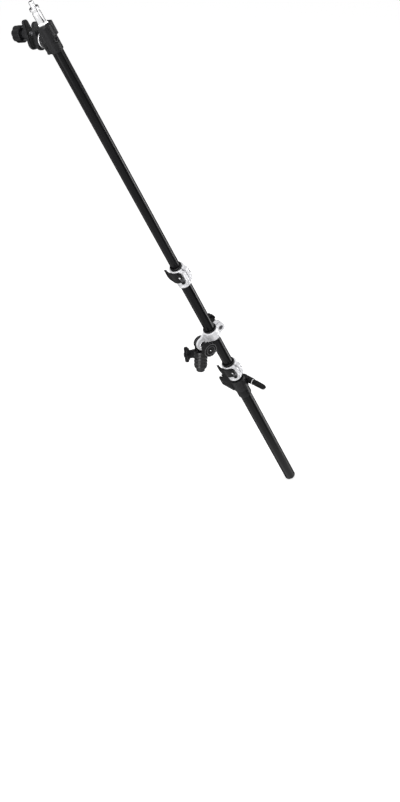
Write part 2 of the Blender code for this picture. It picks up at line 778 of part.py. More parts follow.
def build_cap(lower):
    """Rounded cap over the lower tube's end."""
    outer = LOWER_TUBE_DIAMETER / 2 - TUBE_WALL - PLUG_STEM_GAP
    rim = LOWER_TUBE_DIAMETER / 2
    foot = LOWER_END_STATION
    seat = foot + CAP_WALL
    outline = [
        (0, foot),
        (rim * 0.72, foot),
        (rim * 0.93, foot + CAP_WALL * 0.35),
        (rim, seat),
        (outer, seat),
        (outer, foot + CAP_HEIGHT),
        (outer - CAP_STEM_WALL, foot + CAP_HEIGHT),
        (outer - CAP_STEM_WALL, seat + SMALL_STEP),
        (0, seat + SMALL_STEP),
    ]
    piece("lower_end_cap", turned(outline), lower, BLACK_PLASTIC)


def lever_outline(pin, start_radius):
    """The lever seen along the tube: a cam round the pin and a band that wraps the collar."""
    start = math.atan2(pin[1], pin[0])
    inner = []
    outer = []
    for step in range(1, LEVER_STEPS + 1):
        share = step / LEVER_STEPS
        angle = start - LEVER_WRAP * share
        past_bend = max(0.0, share - LEVER_BEND) / (1 - LEVER_BEND)
        radius = start_radius + LEVER_FLARE * past_bend * share
        thickness = LEVER_THICKNESS * (1 + LEVER_SWELL * past_bend)
        inner.append((radius * math.cos(angle), radius * math.sin(angle)))
        reach = radius + thickness
        outer.append((reach * math.cos(angle), reach * math.sin(angle)))
    first_inner = Vector(inner[0]) - Vector(pin)
    first_outer = Vector(outer[0]) - Vector(pin)
    low = math.atan2(first_inner.y, first_inner.x) - math.radians(30)
    high = math.atan2(first_outer.y, first_outer.x) + math.radians(20)
    if high > low:
        high -= 2 * math.pi
    cam = arc(pin, LEVER_CAM_RADIUS, low, high, 10)
    return cam + outer + inner[::-1]


def build_lock(prefix, parent, level, roll, carrier_diameter, slider_diameter):
    """A flip lock: split collar, plastic insert, eye bolt, nut, cam lever and its pin."""
    place = frame(f"{prefix}_frame", parent, (0, 0, level), (0, 0, roll))
    bore = carrier_diameter / 2 + GAP
    outer = bore + LOCK_WALL
    skirt = bore + LOCK_SKIRT_WALL
    collar = turned(
        [
            (0, 0),
            (skirt, 0),
            (skirt, LOCK_SKIRT_HEIGHT),
            (outer, LOCK_SKIRT_HEIGHT + 0.004),
            (outer, LOCK_HEIGHT - SMALL_STEP),
            (outer - SMALL_STEP, LOCK_HEIGHT),
            (0, LOCK_HEIGHT),
        ]
    )
    tube_way = cylinder(bore, -0.005, LOCK_HEIGHT + CUTTER_MARGIN, FINE)
    bolt_y = -(outer + LOCK_BOLT_STANDOFF)
    face = bolt_y - LOCK_EAR_OUTER
    near = LOCK_SLIT / 2
    ear_a_end = -near - LOCK_EAR_A_THICKNESS
    ear_b_end = near + LOCK_EAR_B_THICKNESS
    ear_a = block((ear_a_end, face, LOCK_EAR_A_BOTTOM), (0, -bore - SMALL_STEP, LOCK_EAR_A_TOP))
    ear_b_outline = [
        (0, -bore - SMALL_STEP),
        (0, face),
        (ear_b_end - 0.004, face),
        (ear_b_end, face + 0.004),
        (ear_b_end, -bore * 0.78),
    ]
    ear_b = extruded(ear_b_outline[::-1], LOCK_EAR_B_BOTTOM, LOCK_EAR_B_TOP)
    slit = block((-near, face - OVERLAP, LOCK_SLIT_START), (near, -bore + 0.003, LOCK_HEIGHT + CUTTER_MARGIN))
    sideways = Matrix.Translation((0, bolt_y, LOCK_BOLT_LEVEL)) @ along((1, 0, 0))
    bolt_hole = oriented(
        cylinder(LOCK_BOLT_DIAMETER / 2 + HOLE_CLEARANCE, -0.03, 0.03, SMALL), sideways
    )
    piece(
        f"{prefix}_collar",
        collar,
        place,
        ALUMINIUM,
        add=[ear_a, ear_b],
        cut=[bolt_hole, slit, tube_way],
    )
    inner = slider_diameter / 2 + SLIDE_GAP
    sleeve = bore - GAP
    flange = bore + INSERT_FLANGE_WALL
    top = LOCK_HEIGHT + GAP
    insert = turned(
        [
            (inner, LOCK_HEIGHT - INSERT_TAIL),
            (sleeve, LOCK_HEIGHT - INSERT_TAIL),
            (sleeve, top),
            (flange, top),
            (flange, top + INSERT_FLANGE * 0.8),
            (flange - 0.0015, top + INSERT_FLANGE),
            (inner, top + INSERT_FLANGE),
        ]
    )
    piece(f"{prefix}_insert", insert, place, BLACK_PLASTIC)
    pin = (ear_a_end - LEVER_CAM_CLEARANCE - LEVER_CAM_RADIUS, bolt_y)
    nut_seat = ear_b_end + GAP
    shaft = oriented(
        cylinder(LOCK_BOLT_DIAMETER / 2, pin[0], nut_seat + LOCK_NUT_HEIGHT - 0.0005, SMALL), sideways
    )
    eye = oriented(
        cylinder(EYE_RADIUS, -EYE_HEIGHT / 2, EYE_HEIGHT / 2, SMALL),
        Matrix.Translation((pin[0], pin[1], LOCK_BOLT_LEVEL)),
    )
    eye_hole = oriented(
        cylinder(LEVER_PIN_RADIUS + HOLE_CLEARANCE, -EYE_HEIGHT, EYE_HEIGHT, SMALL),
        Matrix.Translation((pin[0], pin[1], LOCK_BOLT_LEVEL)),
    )
    piece(f"{prefix}_bolt", shaft, place, DARK_STEEL, add=[eye], cut=[eye_hole])
    nut = oriented(hexagon(LOCK_NUT_RADIUS, nut_seat, nut_seat + LOCK_NUT_HEIGHT), sideways)
    nut_hole = oriented(
        cylinder(LOCK_BOLT_DIAMETER / 2 + HOLE_CLEARANCE, 0.0, nut_seat + 0.02, SMALL), sideways
    )
    piece(f"{prefix}_nut", nut, place, STEEL, cut=[nut_hole])
    lever_frame = frame(f"{prefix}_lever_frame", place, (pin[0], pin[1], 0))
    shift = Matrix.Translation((-pin[0], -pin[1], 0))
    outline = lever_outline(pin, outer + LEVER_CLEARANCE)
    lever = oriented(extruded(outline, LEVER_BOTTOM, LEVER_TOP), shift)
    reach = outer + LEVER_FLARE + LEVER_THICKNESS * (1 + LEVER_SWELL) + GAP
    taper = extruded(
        [
            (LEVER_BOTTOM - 0.01, 0),
            (LEVER_BOTTOM - 0.01, reach),
            (LEVER_TIP_BOTTOM, reach),
            (LEVER_BOTTOM - 0.0005, 0),
        ],
        -LEVER_CUTTER_REACH,
        LEVER_CUTTER_REACH,
    )
    to_side = Matrix(((0, 0, 1, 0), (0, 1, 0, 0), (1, 0, 0, 0), (0, 0, 0, 1)))
    taper = finished(oriented(taper, shift @ to_side))
    slot_half = EYE_HEIGHT / 2 + GAP
    slot = oriented(
        block(
            (pin[0] - 0.012, pin[1] - 0.012, LOCK_BOLT_LEVEL - slot_half),
            (pin[0] + 0.012, pin[1] + EYE_RADIUS + 0.0015, LOCK_BOLT_LEVEL + slot_half),
        ),
        shift,
    )
    pin_hole = cylinder(LEVER_PIN_RADIUS + HOLE_CLEARANCE, 0, LEVER_TOP + 0.01, SMALL)
    window = block(
        (outer - OVERLAP, -WINDOW_WIDTH / 2, WINDOW_LEVEL - WINDOW_HEIGHT / 2),
        (outer + 0.012, WINDOW_WIDTH / 2, WINDOW_LEVEL + WINDOW_HEIGHT / 2),
    )
    window = oriented(window, shift @ Matrix.Rotation(WINDOW_ANGLE, 4, "Z"))
    piece(
        f"{prefix}_lever",
        lever,
        lever_frame,
        BLACK_PLASTIC,
        cut=[taper, slot, pin_hole, window],
    )
    piece(
        f"{prefix}_pin",
        cylinder(LEVER_PIN_RADIUS, LEVER_BOTTOM + GAP, LEVER_TOP - GAP, SMALL),
        lever_frame,
        DARK_STEEL,
    )


def build_head(head):
    """Head block on the upper tube with its spigot, swivel boss and set screws."""
    tube = UPPER_TUBE_DIAMETER / 2 + GAP
    shank = SPIGOT_SHANK_DIAMETER / 2 + GAP
    body = turned(
        [
            (tube, HEAD_BOTTOM),
            (HEAD_RADIUS - SMALL_STEP, HEAD_BOTTOM),
            (HEAD_RADIUS, HEAD_BOTTOM + SMALL_STEP),
            (HEAD_RADIUS, HEAD_TOP - HEAD_BEVEL),
            (HEAD_RADIUS - HEAD_BEVEL, HEAD_TOP),
            (shank, HEAD_TOP),
            (shank, HEAD_TOP - SPIGOT_SHANK - GAP),
            (0, HEAD_TOP - SPIGOT_SHANK - GAP),
            (0, HEAD_TUBE_END + GAP),
            (tube, HEAD_TUBE_END + GAP),
        ]
    )
    sideways = along((0, 1, 0))
    boss = oriented(cylinder(HEAD_BOSS_RADIUS, HEAD_RADIUS * 0.6, HEAD_BOSS_REACH), sideways)
    cheek = block(
        (-HEAD_CHEEK_HALF_WIDTH, HEAD_RADIUS * 0.7, HEAD_BOTTOM + 0.0005),
        (HEAD_CHEEK_HALF_WIDTH, HEAD_CHEEK_REACH, HEAD_CHEEK_TOP),
    )
    pad = block(
        (HEAD_RADIUS * 0.8, -HEAD_PAD_HALF_WIDTH, 0.001),
        (HEAD_PAD_REACH, HEAD_PAD_HALF_WIDTH, HEAD_PAD_TOP),
    )
    lobe_at = Vector((-math.sin(math.radians(35)), math.cos(math.radians(35)), 0)) * HEAD_LOBE_REACH
    lobe = oriented(
        cylinder(HEAD_LOBE_RADIUS, HEAD_BOTTOM + 0.0003, HEAD_BOTTOM + HEAD_LOBE_HEIGHT),
        Matrix.Translation(lobe_at),
    )
    tube_way = cylinder(tube, HEAD_BOTTOM - CUTTER_MARGIN, HEAD_TUBE_END + GAP, FINE)
    bolt_hole = oriented(
        cylinder(BOLT_DIAMETER / 2 + HOLE_CLEARANCE, -0.03, 0.03, SMALL), sideways
    )
    head_recess = oriented(
        cylinder(HEAD_BOLT_HEAD_RADIUS + HOLE_CLEARANCE, -0.03, HEAD_BOLT_SEAT), sideways
    )
    screw = SET_SCREW_DIAMETER / 2
    spigot_hole = oriented(
        cylinder(screw + HOLE_CLEARANCE, shank - OVERLAP, HEAD_PAD_REACH + OVERLAP, SMALL),
        Matrix.Translation((0, 0, SPIGOT_SCREW_LEVEL)) @ along((1, 0, 0)),
    )
    tube_screw_hole = oriented(
        cylinder(screw + HOLE_CLEARANCE, tube - OVERLAP, 0.025, SMALL),
        Matrix.Translation((0, 0, TUBE_SCREW_LEVEL)) @ along(lobe_at),
    )
    piece(
        "head_block",
        body,
        head,
        BLACK_PAINT,
        add=[cheek, boss, pad, lobe],
        cut=[tube_way, bolt_hole, head_recess, spigot_hole, tube_screw_hole],
    )
    spigot_screw, recess = set_screw(shank + GAP, HEAD_PAD_REACH - 0.0008)
    way = Matrix.Translation((0, 0, SPIGOT_SCREW_LEVEL)) @ along((1, 0, 0))
    piece(
        "spigot_set_screw", oriented(spigot_screw, way), head, DARK_STEEL, cut=[oriented(recess, way)]
    )
    tube_screw, recess = set_screw(tube, HEAD_LOBE_REACH + HEAD_LOBE_RADIUS - 0.0012)
    way = Matrix.Translation((0, 0, TUBE_SCREW_LEVEL)) @ along(lobe_at)
    piece("tube_set_screw", oriented(tube_screw, way), head, DARK_STEEL, cut=[oriented(recess, way)])
    build_spigot(head)


def set_screw(start, end):
    """A grub screw along Z with a hex recess in its outer end."""
    shape = cylinder(SET_SCREW_DIAMETER / 2, start, end, SMALL)
    return shape, hexagon(SET_SCREW_DIAMETER * 0.27, end - 0.0025, end + GAP)


def build_spigot(head):
    """Stud for a light or a grip head: shank, hexagon, grooved 16 mm body, shoulder and thread."""
    foot = HEAD_TOP + GAP
    body = SPIGOT_DIAMETER / 2
    groove = SPIGOT_GROOVE_DIAMETER / 2
    shoulder = SPIGOT_SHOULDER_DIAMETER / 2
    thread = SPIGOT_THREAD_DIAMETER / 2
    hexagon_top = foot + SPIGOT_HEX
    top = hexagon_top + SPIGOT_BODY
    groove_low = top - SPIGOT_GROOVE
    tip = top + SPIGOT_SHOULDER + SPIGOT_THREAD
    outline = [
        (0, foot - SPIGOT_SHANK),
        (SPIGOT_SHANK_DIAMETER / 2, foot - SPIGOT_SHANK),
        (SPIGOT_SHANK_DIAMETER / 2, hexagon_top - SMALL_STEP),
        (body, hexagon_top - SMALL_STEP),
        (body, groove_low),
        (groove, groove_low + (body - groove)),
        (groove, top - (body - groove) * 0.5),
        (shoulder, top),
        (shoulder, top + SPIGOT_SHOULDER),
        (thread, top + SPIGOT_SHOULDER),
        (thread, tip - SMALL_STEP),
        (thread - SMALL_STEP, tip),
        (0, tip),
    ]
    piece(
        "spigot",
        turned(outline, MEDIUM),
        head,
        STEEL,
        add=[hexagon(SPIGOT_HEX_RADIUS, foot, hexagon_top)],
    )


def jaw_plate(up, down, top_radius, inset, low, high):
    """A plate with round ends, drawn in the clamp's frame between two levels of Y."""
    top = top_radius - inset
    bottom = JAW_LOW_RADIUS - inset
    ends = arc((0, up - inset - top), top, 0, math.pi, 10)
    ends += arc((0, bottom + inset - down), bottom, math.pi, 2 * math.pi, 10)
    return oriented(extruded([(x, -z) for x, z in ends], low, high), along_y())


def along_y():
    """Stands a piece drawn along Z along Y, with what was drawn at -Y turned to +Z."""
    return Matrix(((1, 0, 0, 0), (0, 0, 1, 0), (0, -1, 0, 0), (0, 0, 0, 1)))


def build_head_clamp(head):
    """Swivelling screw clamp: bolt, washer, two jaws with pads, guide pin, stud and knob."""
    hole = BOLT_DIAMETER / 2 + HOLE_CLEARANCE
    washer_low = HEAD_BOSS_REACH + GAP
    washer_high = washer_low + HEAD_WASHER_THICKNESS
    hub_low = washer_high + GAP
    plate_low = hub_low + JAW_HUB
    plate_high = plate_low + JAW_PLATE
    pad_low = plate_high + GAP
    pad_high = pad_low + PAD_THICKNESS
    moving_pad_low = pad_high + JAW_GAP
    moving_pad_high = moving_pad_low + PAD_THICKNESS
    moving_low = moving_pad_high + GAP
    moving_high = moving_low + JAW_PLATE
    boss_high = moving_high + MOVING_JAW_BOSS
    knob_washer_low = boss_high + GAP
    knob_washer_high = knob_washer_low + WASHER_THICKNESS
    knob_seat = knob_washer_high + GAP
    stud_end = knob_seat + HEAD_KNOB_HEIGHT - HEAD_KNOB_ROOF - JAW_CLOSING - GAP

    bolt_seat = HEAD_BOLT_SEAT - GAP
    bolt_end = plate_low + HEAD_BOLT_GRIP
    shape, recess = bolt(
        BOLT_DIAMETER / 2, HEAD_BOLT_HEAD_RADIUS, HEAD_BOLT_HEAD_HEIGHT, bolt_end - bolt_seat
    )
    way = along_y() @ Matrix.Translation((0, 0, bolt_seat))
    piece(
        "head_bolt",
        oriented(shape, way),
        head,
        DARK_STEEL,
        cut=[oriented(item, way) for item in recess],
    )
    washer = ring(hole, HEAD_WASHER_RADIUS, washer_low, washer_high)
    piece("head_washer", oriented(washer, along_y()), head, ALUMINIUM)

    clamp = frame("head_clamp_frame", head, rotation=(0, HEAD_CLAMP_TURN, 0))
    stud_way = Matrix.Translation((0, 0, CLAMP_STUD_LEVEL)) @ along_y()
    pin_way = Matrix.Translation((0, 0, GUIDE_PIN_LEVEL)) @ along_y()
    stud_low = plate_low + 0.0012
    pin_low = plate_low + 0.0012

    def holes():
        """The stud's hole and the guide pin's hole, from inside the fixed jaw outwards."""
        stud_hole = cylinder(hole, stud_low - GAP, boss_high + OVERLAP, SMALL)
        pin_hole = cylinder(
            GUIDE_PIN_RADIUS + HOLE_CLEARANCE, pin_low - GAP, boss_high + OVERLAP, SMALL
        )
        return [oriented(stud_hole, stud_way), oriented(pin_hole, pin_way)]

    bolt_way = oriented(cylinder(hole, hub_low - OVERLAP, bolt_end + GAP, SMALL), along_y())
    hub = oriented(cylinder(JAW_HUB_RADIUS, hub_low, plate_low + OVERLAP), along_y())
    piece(
        "fixed_jaw",
        jaw_plate(FIXED_JAW_UP, FIXED_JAW_DOWN, FIXED_JAW_TOP_RADIUS, 0, plate_low, plate_high),
        clamp,
        BLACK_PAINT,
        add=[hub],
        cut=[bolt_way] + holes(),
    )
    piece(
        "fixed_jaw_pad",
        jaw_plate(
            FIXED_JAW_UP, FIXED_JAW_DOWN, FIXED_JAW_TOP_RADIUS, PAD_MARGIN, pad_low, pad_high
        ),
        clamp,
        RUBBER,
        cut=holes(),
    )
    pin = cylinder(GUIDE_PIN_RADIUS, pin_low, moving_high + JAW_OPENING, SMALL)
    piece("jaw_guide_pin", oriented(pin, pin_way), clamp, STEEL)
    stud = cylinder(BOLT_DIAMETER / 2, stud_low, stud_end, SMALL)
    piece("clamp_stud", oriented(stud, stud_way), clamp, DARK_STEEL)
    jaw = frame("moving_jaw_frame", clamp)
    hinge = Vector((0, moving_low, CLAMP_STUD_LEVEL))
    lean = Matrix.Rotation(-MOVING_JAW_TILT, 4, "X")
    lean = Matrix.Translation(hinge) @ lean @ Matrix.Translation(-hinge)
    plate = jaw_plate(
        MOVING_JAW_UP, MOVING_JAW_DOWN, MOVING_JAW_TOP_RADIUS, 0, moving_low, moving_high
    )
    boss = cylinder(MOVING_JAW_BOSS_RADIUS, moving_low + JAW_PLATE / 2, boss_high)
    piece(
        "moving_jaw",
        oriented(plate, lean),
        jaw,
        BLACK_PAINT,
        add=[oriented(boss, stud_way)],
        cut=holes(),
    )
    pad = jaw_plate(
        MOVING_JAW_UP,
        MOVING_JAW_DOWN,
        MOVING_JAW_TOP_RADIUS,
        PAD_MARGIN,
        moving_pad_low,
        moving_pad_high,
    )
    piece(
        "moving_jaw_pad",
        oriented(pad, lean),
        jaw,
        RUBBER,
        cut=holes(),
    )
    knob_washer = ring(hole, HEAD_KNOB_WASHER_RADIUS, knob_washer_low, knob_washer_high, MEDIUM)
    piece("head_knob_washer", oriented(knob_washer, stud_way), jaw, STEEL)
    knob_frame = frame("head_knob_frame", jaw, (0, 0, CLAMP_STUD_LEVEL))
    top = knob_seat + HEAD_KNOB_HEIGHT
    levels = [
        (knob_seat, 0.0035),
        (knob_seat + 0.003, 0.0003),
        (knob_seat + 0.008, 0),
        (top - HEAD_KNOB_SHOULDER, 0.0002),
        (top - 0.0016, 0.0022),
        (top, 0.0055),
    ]
    knob = lobed(HEAD_KNOB_RADIUS, HEAD_KNOB_LOBES, HEAD_KNOB_DEPTH, levels)
    knob_bore = cylinder(hole, knob_seat - GAP, top - HEAD_KNOB_ROOF, SMALL)
    piece(
        "head_knob",
        oriented(knob, along_y()),
        knob_frame,
        BLACK_PLASTIC,
        cut=[oriented(knob_bore, along_y())],
    )


def build_lower_clamp(lower):
    """Split clamp on the lower tube with a rim slot, its liners, and the bolt and grip that close it."""
    place = frame("lower_clamp_frame", lower, (0, 0, LOWER_CLAMP_STATION), (0, 0, LOWER_CLAMP_ROLL))
    tube = LOWER_TUBE_DIAMETER / 2 + SLIDE_GAP
    bore = tube + LINER_WALL + GAP
    outer = bore + CLAMP_WALL
    half = CLAMP_HALF_HEIGHT
    liner = turned(
        [
            (tube, -half - GAP - LINER_TAIL),
            (tube + LINER_TAIL_WALL - SMALL_STEP, -half - GAP - LINER_TAIL),
            (tube + LINER_TAIL_WALL, -half - GAP - LINER_TAIL + SMALL_STEP),
            (tube + LINER_TAIL_WALL, -half - GAP),
            (tube + LINER_WALL, -half - GAP),
            (tube + LINER_WALL, half - GAP),
            (tube, half - GAP),
        ]
    )
    piece("lower_clamp_liner", liner, place, BLACK_PLASTIC)
    near = CLAMP_SLIT / 2
    upright = along_y()
    level = CLAMP_BOLT_LEVEL
    bolt_place = Matrix.Translation((CLAMP_BOLT_REACH, 0, level)) @ upright
    ear = oriented(
        cylinder(CLAMP_EAR_RADIUS, -near - CLAMP_NEAR_EAR, near + CLAMP_FAR_EAR), bolt_place
    )
    cheek = block(
        (bore + 0.0008, -near - CLAMP_NEAR_EAR * 0.6, level - CLAMP_EAR_RADIUS * 0.95),
        (CLAMP_BOLT_REACH, near + CLAMP_FAR_EAR * 0.9, level + CLAMP_EAR_RADIUS * 1.6),
    )
    arm_low = CLAMP_ARM_CENTRE - CLAMP_ARM_WIDTH / 2
    arm_high = CLAMP_ARM_CENTRE + CLAMP_ARM_WIDTH / 2
    corner = 0.003
    arm_outline = [
        (arm_low, 0.0024),
        (arm_high, 0.0024),
        (arm_high, CLAMP_ARM_REACH - corner),
        (arm_high - corner, CLAMP_ARM_REACH),
        (arm_low + corner, CLAMP_ARM_REACH),
        (arm_low, CLAMP_ARM_REACH - corner),
    ]
    arm = extruded(arm_outline, -CLAMP_ARM_HALF_HEIGHT, CLAMP_ARM_HALF_HEIGHT)
    slot_low = CLAMP_ARM_CENTRE - RIM_SLOT_WIDTH / 2
    slot_high = CLAMP_ARM_CENTRE + RIM_SLOT_WIDTH / 2
    slot = block(
        (slot_low, CLAMP_ARM_REACH - RIM_SLOT_DEPTH, -half),
        (slot_high, CLAMP_ARM_REACH + CUTTER_MARGIN, half),
    )
    slit = block((bore - OVERLAP, -near, -half - OVERLAP), (0.05, near, half + OVERLAP))
    tube_way = cylinder(bore, -half - CUTTER_MARGIN, half + CUTTER_MARGIN, FINE)
    bolt_hole = oriented(
        cylinder(BOLT_DIAMETER / 2 + HOLE_CLEARANCE, -0.04, 0.03, SMALL), bolt_place
    )
    piece(
        "lower_clamp_body",
        turned(
            [
                (0, -half),
                (outer - SMALL_STEP, -half),
                (outer, -half + SMALL_STEP),
                (outer, half - SMALL_STEP),
                (outer - SMALL_STEP, half),
                (0, half),
            ]
        ),
        place,
        BLACK_PAINT,
        add=[arm, cheek, ear],
        cut=[bolt_hole, slot, slit, tube_way],
    )
    wall = RIM_LINER_WALL
    low = (slot_low + GAP, CLAMP_ARM_REACH - RIM_SLOT_DEPTH + GAP, -CLAMP_ARM_HALF_HEIGHT + GAP)
    high = (slot_high - GAP, CLAMP_ARM_REACH - SMALL_STEP, CLAMP_ARM_HALF_HEIGHT - GAP)
    rim_way = block(
        (low[0] + wall, low[1] + wall, low[2] - OVERLAP),
        (high[0] - wall, high[1] + CUTTER_MARGIN, high[2] + OVERLAP),
    )
    piece("rim_slot_liner", block(low, high), place, RUBBER, cut=[rim_way])

    head_seat = near + CLAMP_FAR_EAR + GAP
    washer_low = near + CLAMP_NEAR_EAR + GAP
    washer_high = washer_low + CLAMP_WASHER_THICKNESS
    grip_seat = washer_high + GAP
    shaft_end = grip_seat + CLAMP_HUB + CLAMP_HANDLE_LENGTH * 0.4
    outward = along((0, -1, 0), (CLAMP_BOLT_REACH, 0, level))
    shaft = oriented(cylinder(BOLT_DIAMETER / 2, -head_seat - OVERLAP, shaft_end, SMALL), outward)
    head = oriented(
        hexagon(CLAMP_NUT_RADIUS, -head_seat - CLAMP_NUT_HEIGHT, -head_seat), outward
    )
    piece("lower_clamp_bolt", head, place, DARK_STEEL, add=[shaft])
    hole = BOLT_DIAMETER / 2 + HOLE_CLEARANCE
    washer = oriented(ring(hole, CLAMP_WASHER_RADIUS, washer_low, washer_high, MEDIUM), outward)
    piece("lower_clamp_washer", washer, place, STEEL)
    grip_frame = frame("lower_clamp_grip_frame", place, (CLAMP_BOLT_REACH, 0, level))
    way = along((0, -1, 0), (0, -grip_seat, 0))
    hub = cylinder(CLAMP_HUB_RADIUS, 0, CLAMP_HUB + 0.004)
    wide = CLAMP_HANDLE_WIDTH / 2
    thick = CLAMP_HANDLE_THICKNESS / 2
    bar = bmesh.new()
    grip_levels = [(CLAMP_HUB * 0.5, 0.80), (CLAMP_HUB, 1.0), (CLAMP_HANDLE_LENGTH * 0.86, 0.92)]
    grip_levels.append((CLAMP_HANDLE_LENGTH, 0.62))
    rings = []
    for height, share in grip_levels:
        points = []
        for step in range(SMALL):
            angle = 2 * math.pi * step / SMALL
            x = math.copysign(abs(math.cos(angle)) ** 0.6, math.cos(angle)) * max(wide * share, 0.0032)
            y = math.copysign(abs(math.sin(angle)) ** 0.6, math.sin(angle)) * thick * share
            points.append(bar.verts.new((x, y, height)))
        rings.append(points)
    for first, second in zip(rings, rings[1:]):
        for step in range(SMALL):
            after = (step + 1) % SMALL
            bar.faces.new((first[step], first[after], second[after], second[step]))
    bar.faces.new(rings[0][::-1])
    bar.faces.new(rings[-1])
    piece(
        "lower_clamp_grip",
        oriented(finished(bar), way),
        grip_frame,
        BLACK_PLASTIC,
        add=[oriented(hub, way)],
        cut=[oriented(nut_bore(shaft_end - grip_seat), way)],
    )


def build():
    """Clears the scene and builds the boom."""
    for old in list(bpy.data.objects):
        bpy.data.objects.remove(old, do_unlink=True)
    root = frame("adapter_frame")
    build_adapter(root)
    build_socket_lock(root)
    tongue_face = build_pivot(root)
    reach = Vector((math.cos(TILT), 0, math.sin(TILT))) * ARM_OFFSET
    arm_place = Vector((0, -ARM_SIDE, PIVOT_HEIGHT)) + reach
    arm = frame("arm_frame", root, arm_place, (0, -TILT, 0))
    build_saddle(arm, tongue_face)

    middle_top = UPPER_LOCK_STATION + LOCK_TUBE_SEAT
    middle_end = middle_top - MIDDLE_TUBE_LENGTH
    build_tube("middle_tube", arm, MIDDLE_TUBE_DIAMETER, middle_end, middle_top)
    build_lock(
        "upper_lock", arm, UPPER_LOCK_STATION, LOCK_ROLL, MIDDLE_TUBE_DIAMETER, UPPER_TUBE_DIAMETER
    )
    lower_bore = LOWER_TUBE_DIAMETER - 2 * TUBE_WALL
    middle_bore = MIDDLE_TUBE_DIAMETER - 2 * TUBE_WALL
    upper_bore = UPPER_TUBE_DIAMETER - 2 * TUBE_WALL
    build_plug("middle_end_plug", arm, lower_bore, middle_bore, middle_end)

    lower = frame("lower_tube_frame", arm)
    lower_top = LOWER_LOCK_STATION + LOCK_TUBE_SEAT
    build_tube("lower_tube", lower, LOWER_TUBE_DIAMETER, LOWER_END_STATION + CAP_WALL + GAP, lower_top)
    build_cap(lower)
    build_lock(
        "lower_lock", lower, LOWER_LOCK_STATION, LOCK_ROLL, LOWER_TUBE_DIAMETER, MIDDLE_TUBE_DIAMETER
    )
    build_lower_clamp(lower)

    upper = frame("upper_tube_frame", arm)
    upper_top = HEAD_STATION + HEAD_TUBE_END
    upper_end = upper_top - UPPER_TUBE_LENGTH
    build_tube("upper_tube", upper, UPPER_TUBE_DIAMETER, upper_end, upper_top)
    build_plug("upper_end_plug", upper, middle_bore, upper_bore, upper_end)
    head = frame("head_frame", upper, (0, 0, HEAD_STATION), (0, 0, HEAD_ROLL))
    build_head(head)
    build_head_clamp(head)


if __name__ == "__main__":
    build()
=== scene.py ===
"""Looks of the telescoping reflector boom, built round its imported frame.

The castings, jaws, levers and rubber parts are relaxed copies of the frame's solids, so that their
edges have the soft radius of a casting or a moulding. Turned parts, knobs, bolts and threads are new
meshes in the same places. Sizes are metres. Each sub-assembly is drawn in its own frame, with Z along
the part's axis.
"""

import logging
import math
from dataclasses import dataclass, replace
from enum import Enum
from typing import Callable, Sequence

import bmesh
import bpy
from mathutils import Matrix, Vector


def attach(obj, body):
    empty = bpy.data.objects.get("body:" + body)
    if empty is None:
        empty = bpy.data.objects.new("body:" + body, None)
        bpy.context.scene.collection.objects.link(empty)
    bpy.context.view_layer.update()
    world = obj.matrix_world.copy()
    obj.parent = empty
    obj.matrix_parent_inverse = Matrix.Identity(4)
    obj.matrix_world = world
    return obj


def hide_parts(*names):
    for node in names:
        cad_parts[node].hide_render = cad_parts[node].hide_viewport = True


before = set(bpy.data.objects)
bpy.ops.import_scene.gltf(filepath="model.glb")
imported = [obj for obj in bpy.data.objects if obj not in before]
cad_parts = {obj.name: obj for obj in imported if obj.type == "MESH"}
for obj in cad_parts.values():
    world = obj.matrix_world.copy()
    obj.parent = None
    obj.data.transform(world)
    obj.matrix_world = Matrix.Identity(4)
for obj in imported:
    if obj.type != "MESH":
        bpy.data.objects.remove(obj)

LOG = logging.getLogger("reflector_boom")

Point = tuple[float, float]
Colour = tuple[float, float, float]

# Room between pieces that fit together
GAP = 0.0003

# Metric threads: diameter, rise of a turn and radius of the hole that clears them
M8 = 0.008
M8_PITCH = 0.00125
M8_HOLE = M8 / 2 + GAP
M5 = 0.005
M5_PITCH = 0.0008
M5_HOLE = M5 / 2 + GAP

# Height of a thread's ridge, as a share of its pitch
THREAD_SHARE = 0.45

# Radius of the hexagon socket in the heads of the M8 bolts
M8_SOCKET = 0.0034

# Rings turned in the knobs' faces: their depth, and their width as a share of the knob's radius
RING_DEPTH = 0.0016
RING_WIDTH = 0.06

# Steps round a turned piece, and round a small one
ROUND = 96
SMALL_ROUND = 48

# Distance at which points are merged, in new shapes and in copies of the frame's solids
MERGE = 1e-7
SOLID_MERGE = 2e-6

# Radius up to which a point of a turned outline lies on the axis
ON_AXIS = 1e-7

WHITE = (1, 1, 1, 1)

# Arm pose and the way it hangs on the adapter
TILT = math.radians(27.5)
PIVOT_HEIGHT = 0.078
ARM_OFFSET = 0.034
ARM_SIDE = 0.008

# Turns of the sub-assemblies about the arm's axis
LOCK_ROLL = math.radians(18)
HEAD_ROLL = math.radians(24)
LOWER_CLAMP_ROLL = math.radians(8)
HEAD_CLAMP_TURN = math.radians(17)

# Stations along the arm, from the level of the pivot
LOWER_END = -0.635
LOWER_CLAMP = -0.185
LOWER_LOCK = -0.158
UPPER_LOCK = 0.186
HEAD = 0.822

# Tubes
UPPER_TUBE = 0.022
MIDDLE_TUBE = 0.026
LOWER_TUBE = 0.030
TUBE_WALL = 0.0012
UPPER_TUBE_ENDS = (0.147, 0.815)
MIDDLE_TUBE_ENDS = (-0.350, 0.210)
LOWER_TUBE_ENDS = (-0.6325, -0.134)

# The way a finish's grain lies: along the arm, or across it as on a piece turned about Y
ALONG_ARM = (0.0, TILT, 0.0)
ACROSS_ARM = (math.pi / 2, 0.0, 0.0)

# Places of the colour sockets in a Mix node's inputs, and in its outputs
FIRST_COLOUR = 6
SECOND_COLOUR = 7
MIXED_COLOUR = 2


def turn_z(angle: float) -> Matrix:
    """A turn about Z, in radians."""
    return Matrix.Rotation(angle, 4, "Z")


def shift(x: float, y: float, z: float) -> Matrix:
    """A move."""
    return Matrix.Translation((x, y, z))


